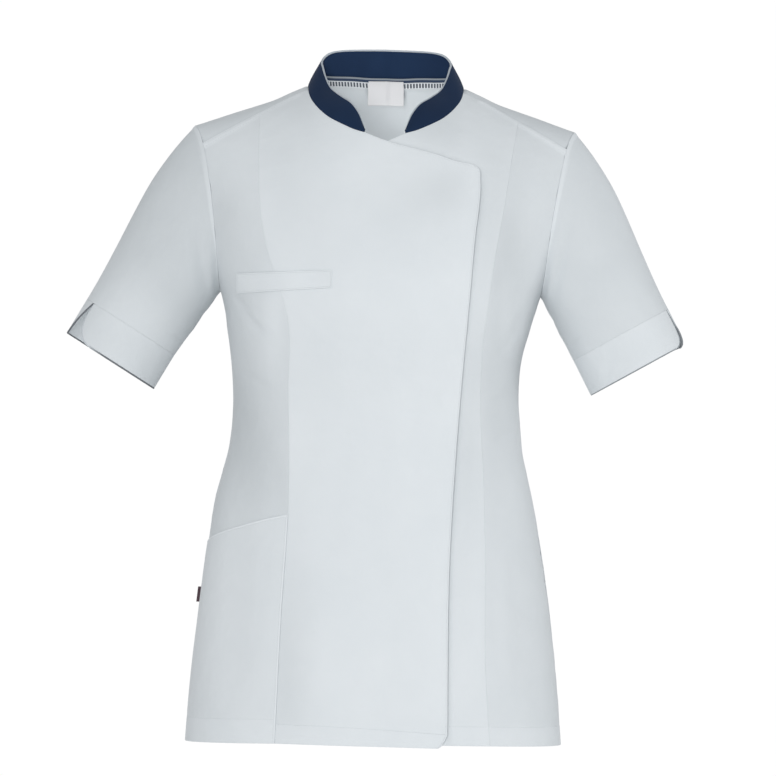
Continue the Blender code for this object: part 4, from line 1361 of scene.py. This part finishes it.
pocket = dict(rows=70, layersAndShade=0.72, **inMm(side=-482, front=-449, lift=1.6, wall=0.6))
grid = sideFrontGrid(rightHand)
mouth = np.linspace(pocket["side"], pocket["front"], grid.shape[1])
heights = grid[0, :, 1] + np.linspace(0, 1, pocket["rows"])[:, None] * (mouth - grid[0, :, 1])
turns = [np.interp(heights[:, k], grid[:, k, 1], grid[:, k, 0]) for k in range(grid.shape[1])]
grid = np.stack([np.stack(turns, axis=1), heights], axis=-1)
edges = {
    "start": {"seam": 0.2, "dip": (15, 0.6)},
    "end": {"stitches": (2.2,), "band": (1.6, 0.1), "dip": (14, 0.9)},
    "low": {"stitches": (25,), "hem": 25},
    "high": {"stitches": (2.2,), "band": (1.6, 0.12)},
}
settings = (), None, None, pocket["lift"], pocket["wall"]
panelCloth("lower_pocket", grid, bodyPoint, edges, "side", pocket["layersAndShade"], *settings)

tag = dict(
    **inMm(height=-536, length=16, start=0.3, reach=4.2, half=0.4, wall=0.35),
    rows=12,
    flatRows=8,
    bendRows=9,
)
up = np.linspace(-0.5, 0.5, tag["rows"])[:, None] * tag["length"] + tag["height"]
seamPoints = bodyPoint(np.full(up.shape, -math.pi / 2), up)
bend = np.linspace(-math.pi / 2, math.pi / 2, tag["bendRows"])[1:-1]
flatPart, side = np.linspace(tag["start"], tag["reach"], tag["flatRows"]), np.ones(tag["flatRows"])
out = np.concatenate([flatPart, tag["reach"] + tag["half"] * np.cos(bend), flatPart[::-1]])
thick = np.concatenate([-side, np.sin(bend), side])
facing = np.stack([np.concatenate([0 * side, -np.cos(bend), 0 * side]), thick, 0 * thick], axis=-1)
points = seamPoints - out[:, None] * np.array([1, 0, 0]) + thick[:, None] * tag["half"] * np.array([0, 1, 0])
normals = np.broadcast_to(facing, points.shape)
shell("cloth_side_tag", points, normals, tag["wall"], "tag", "side_tag", "tag", held="folded")
print("welt, pocket and tag ready")

# Camera, light and floor

studio = dict(
    distance=8.0,
    aim=(8 * mm, -316 * mm),
    frameWidth=0.815,
    sensor=36,  # millimetres
    farthest=60,
    roll=-1.05,
    floor=-1.05,
    floorSize=7,
    floorDark=(0.80, 0.80, 0.80),
    floorLight=(0.84, 0.84, 0.84),
    ambient=(0.53, 0.54, 0.55),
    backdrop=(1.01, 1.01, 1.01),  # behind, towards +Y
    backdropFrom=0.55,
    backdropFull=0.97,
)
cameraData = bpy.data.cameras.new("camera")
cameraData.sensor_width = studio["sensor"]
cameraData.lens = studio["sensor"] * studio["distance"] / studio["frameWidth"]
cameraData.clip_end = studio["farthest"]
camera = bpy.data.objects.new("camera", cameraData)
camera.location = (studio["aim"][0], -studio["distance"], studio["aim"][1])
camera.rotation_euler = (math.pi / 2, math.radians(studio["roll"]), 0)
scene.collection.objects.link(camera)
scene.camera = camera

lamps = {  # place, target, size and power. The last two stand in for light through the thin cloth
    "key": ((-1.0, -6.4, -0.2), (0, 0, -0.33), 1.6, 160),
    "fill": ((4.6, -0.6, -0.2), (0, 0, -0.33), 2.0, 45),
    "neck": ((0, -0.06, -0.12), (0, 0.06, -0.02), 0.08, 0.12),
    "sleeve": ((-0.268, -0.03, -0.268), (-0.322, 0.01, -0.25), 0.02, 0.008),
}
for name, (place, target, size, power) in lamps.items():
    data = bpy.data.lights.new(name, "AREA")
    data.size, data.energy = size, power
    light = bpy.data.objects.new(name, data)
    light.location = place
    x, y, z = np.subtract(target, place)
    light.rotation_euler = (math.atan2(math.hypot(x, y), -z), 0, math.atan2(y, x) - math.pi / 2)
    scene.collection.objects.link(light)

scene.world = bpy.data.worlds.new("studio")
sky = Look(scene.world, "Background")
direction = sky.node("ShaderNodeTexCoord")
toBack = sky.node("ShaderNodeSeparateXYZ", {}, {0: direction}, output=1)
inputs = {"Value": toBack, "From Min": studio["backdropFrom"], "From Max": studio["backdropFull"]}
spread = sky.node("ShaderNodeMapRange", {"interpolation_type": "SMOOTHSTEP"}, inputs)
sky.set(Color=sky.mixed(spread, studio["ambient"], studio["backdrop"]))
scene.view_settings.view_transform = "Standard"

bpy.ops.mesh.primitive_plane_add(size=studio["floorSize"], location=(0, 0, studio["floor"]))
floor = bpy.context.object
floor.name = "floor"
paint = Look(bpy.data.materials.new("paleFloor"))
paint.set(Base_Color=paint.mixed(paint.noise(1.5), studio["floorDark"], studio["floorLight"]), Roughness=0.8)
floor.data.materials.append(paint.owner)
print("studio ready")
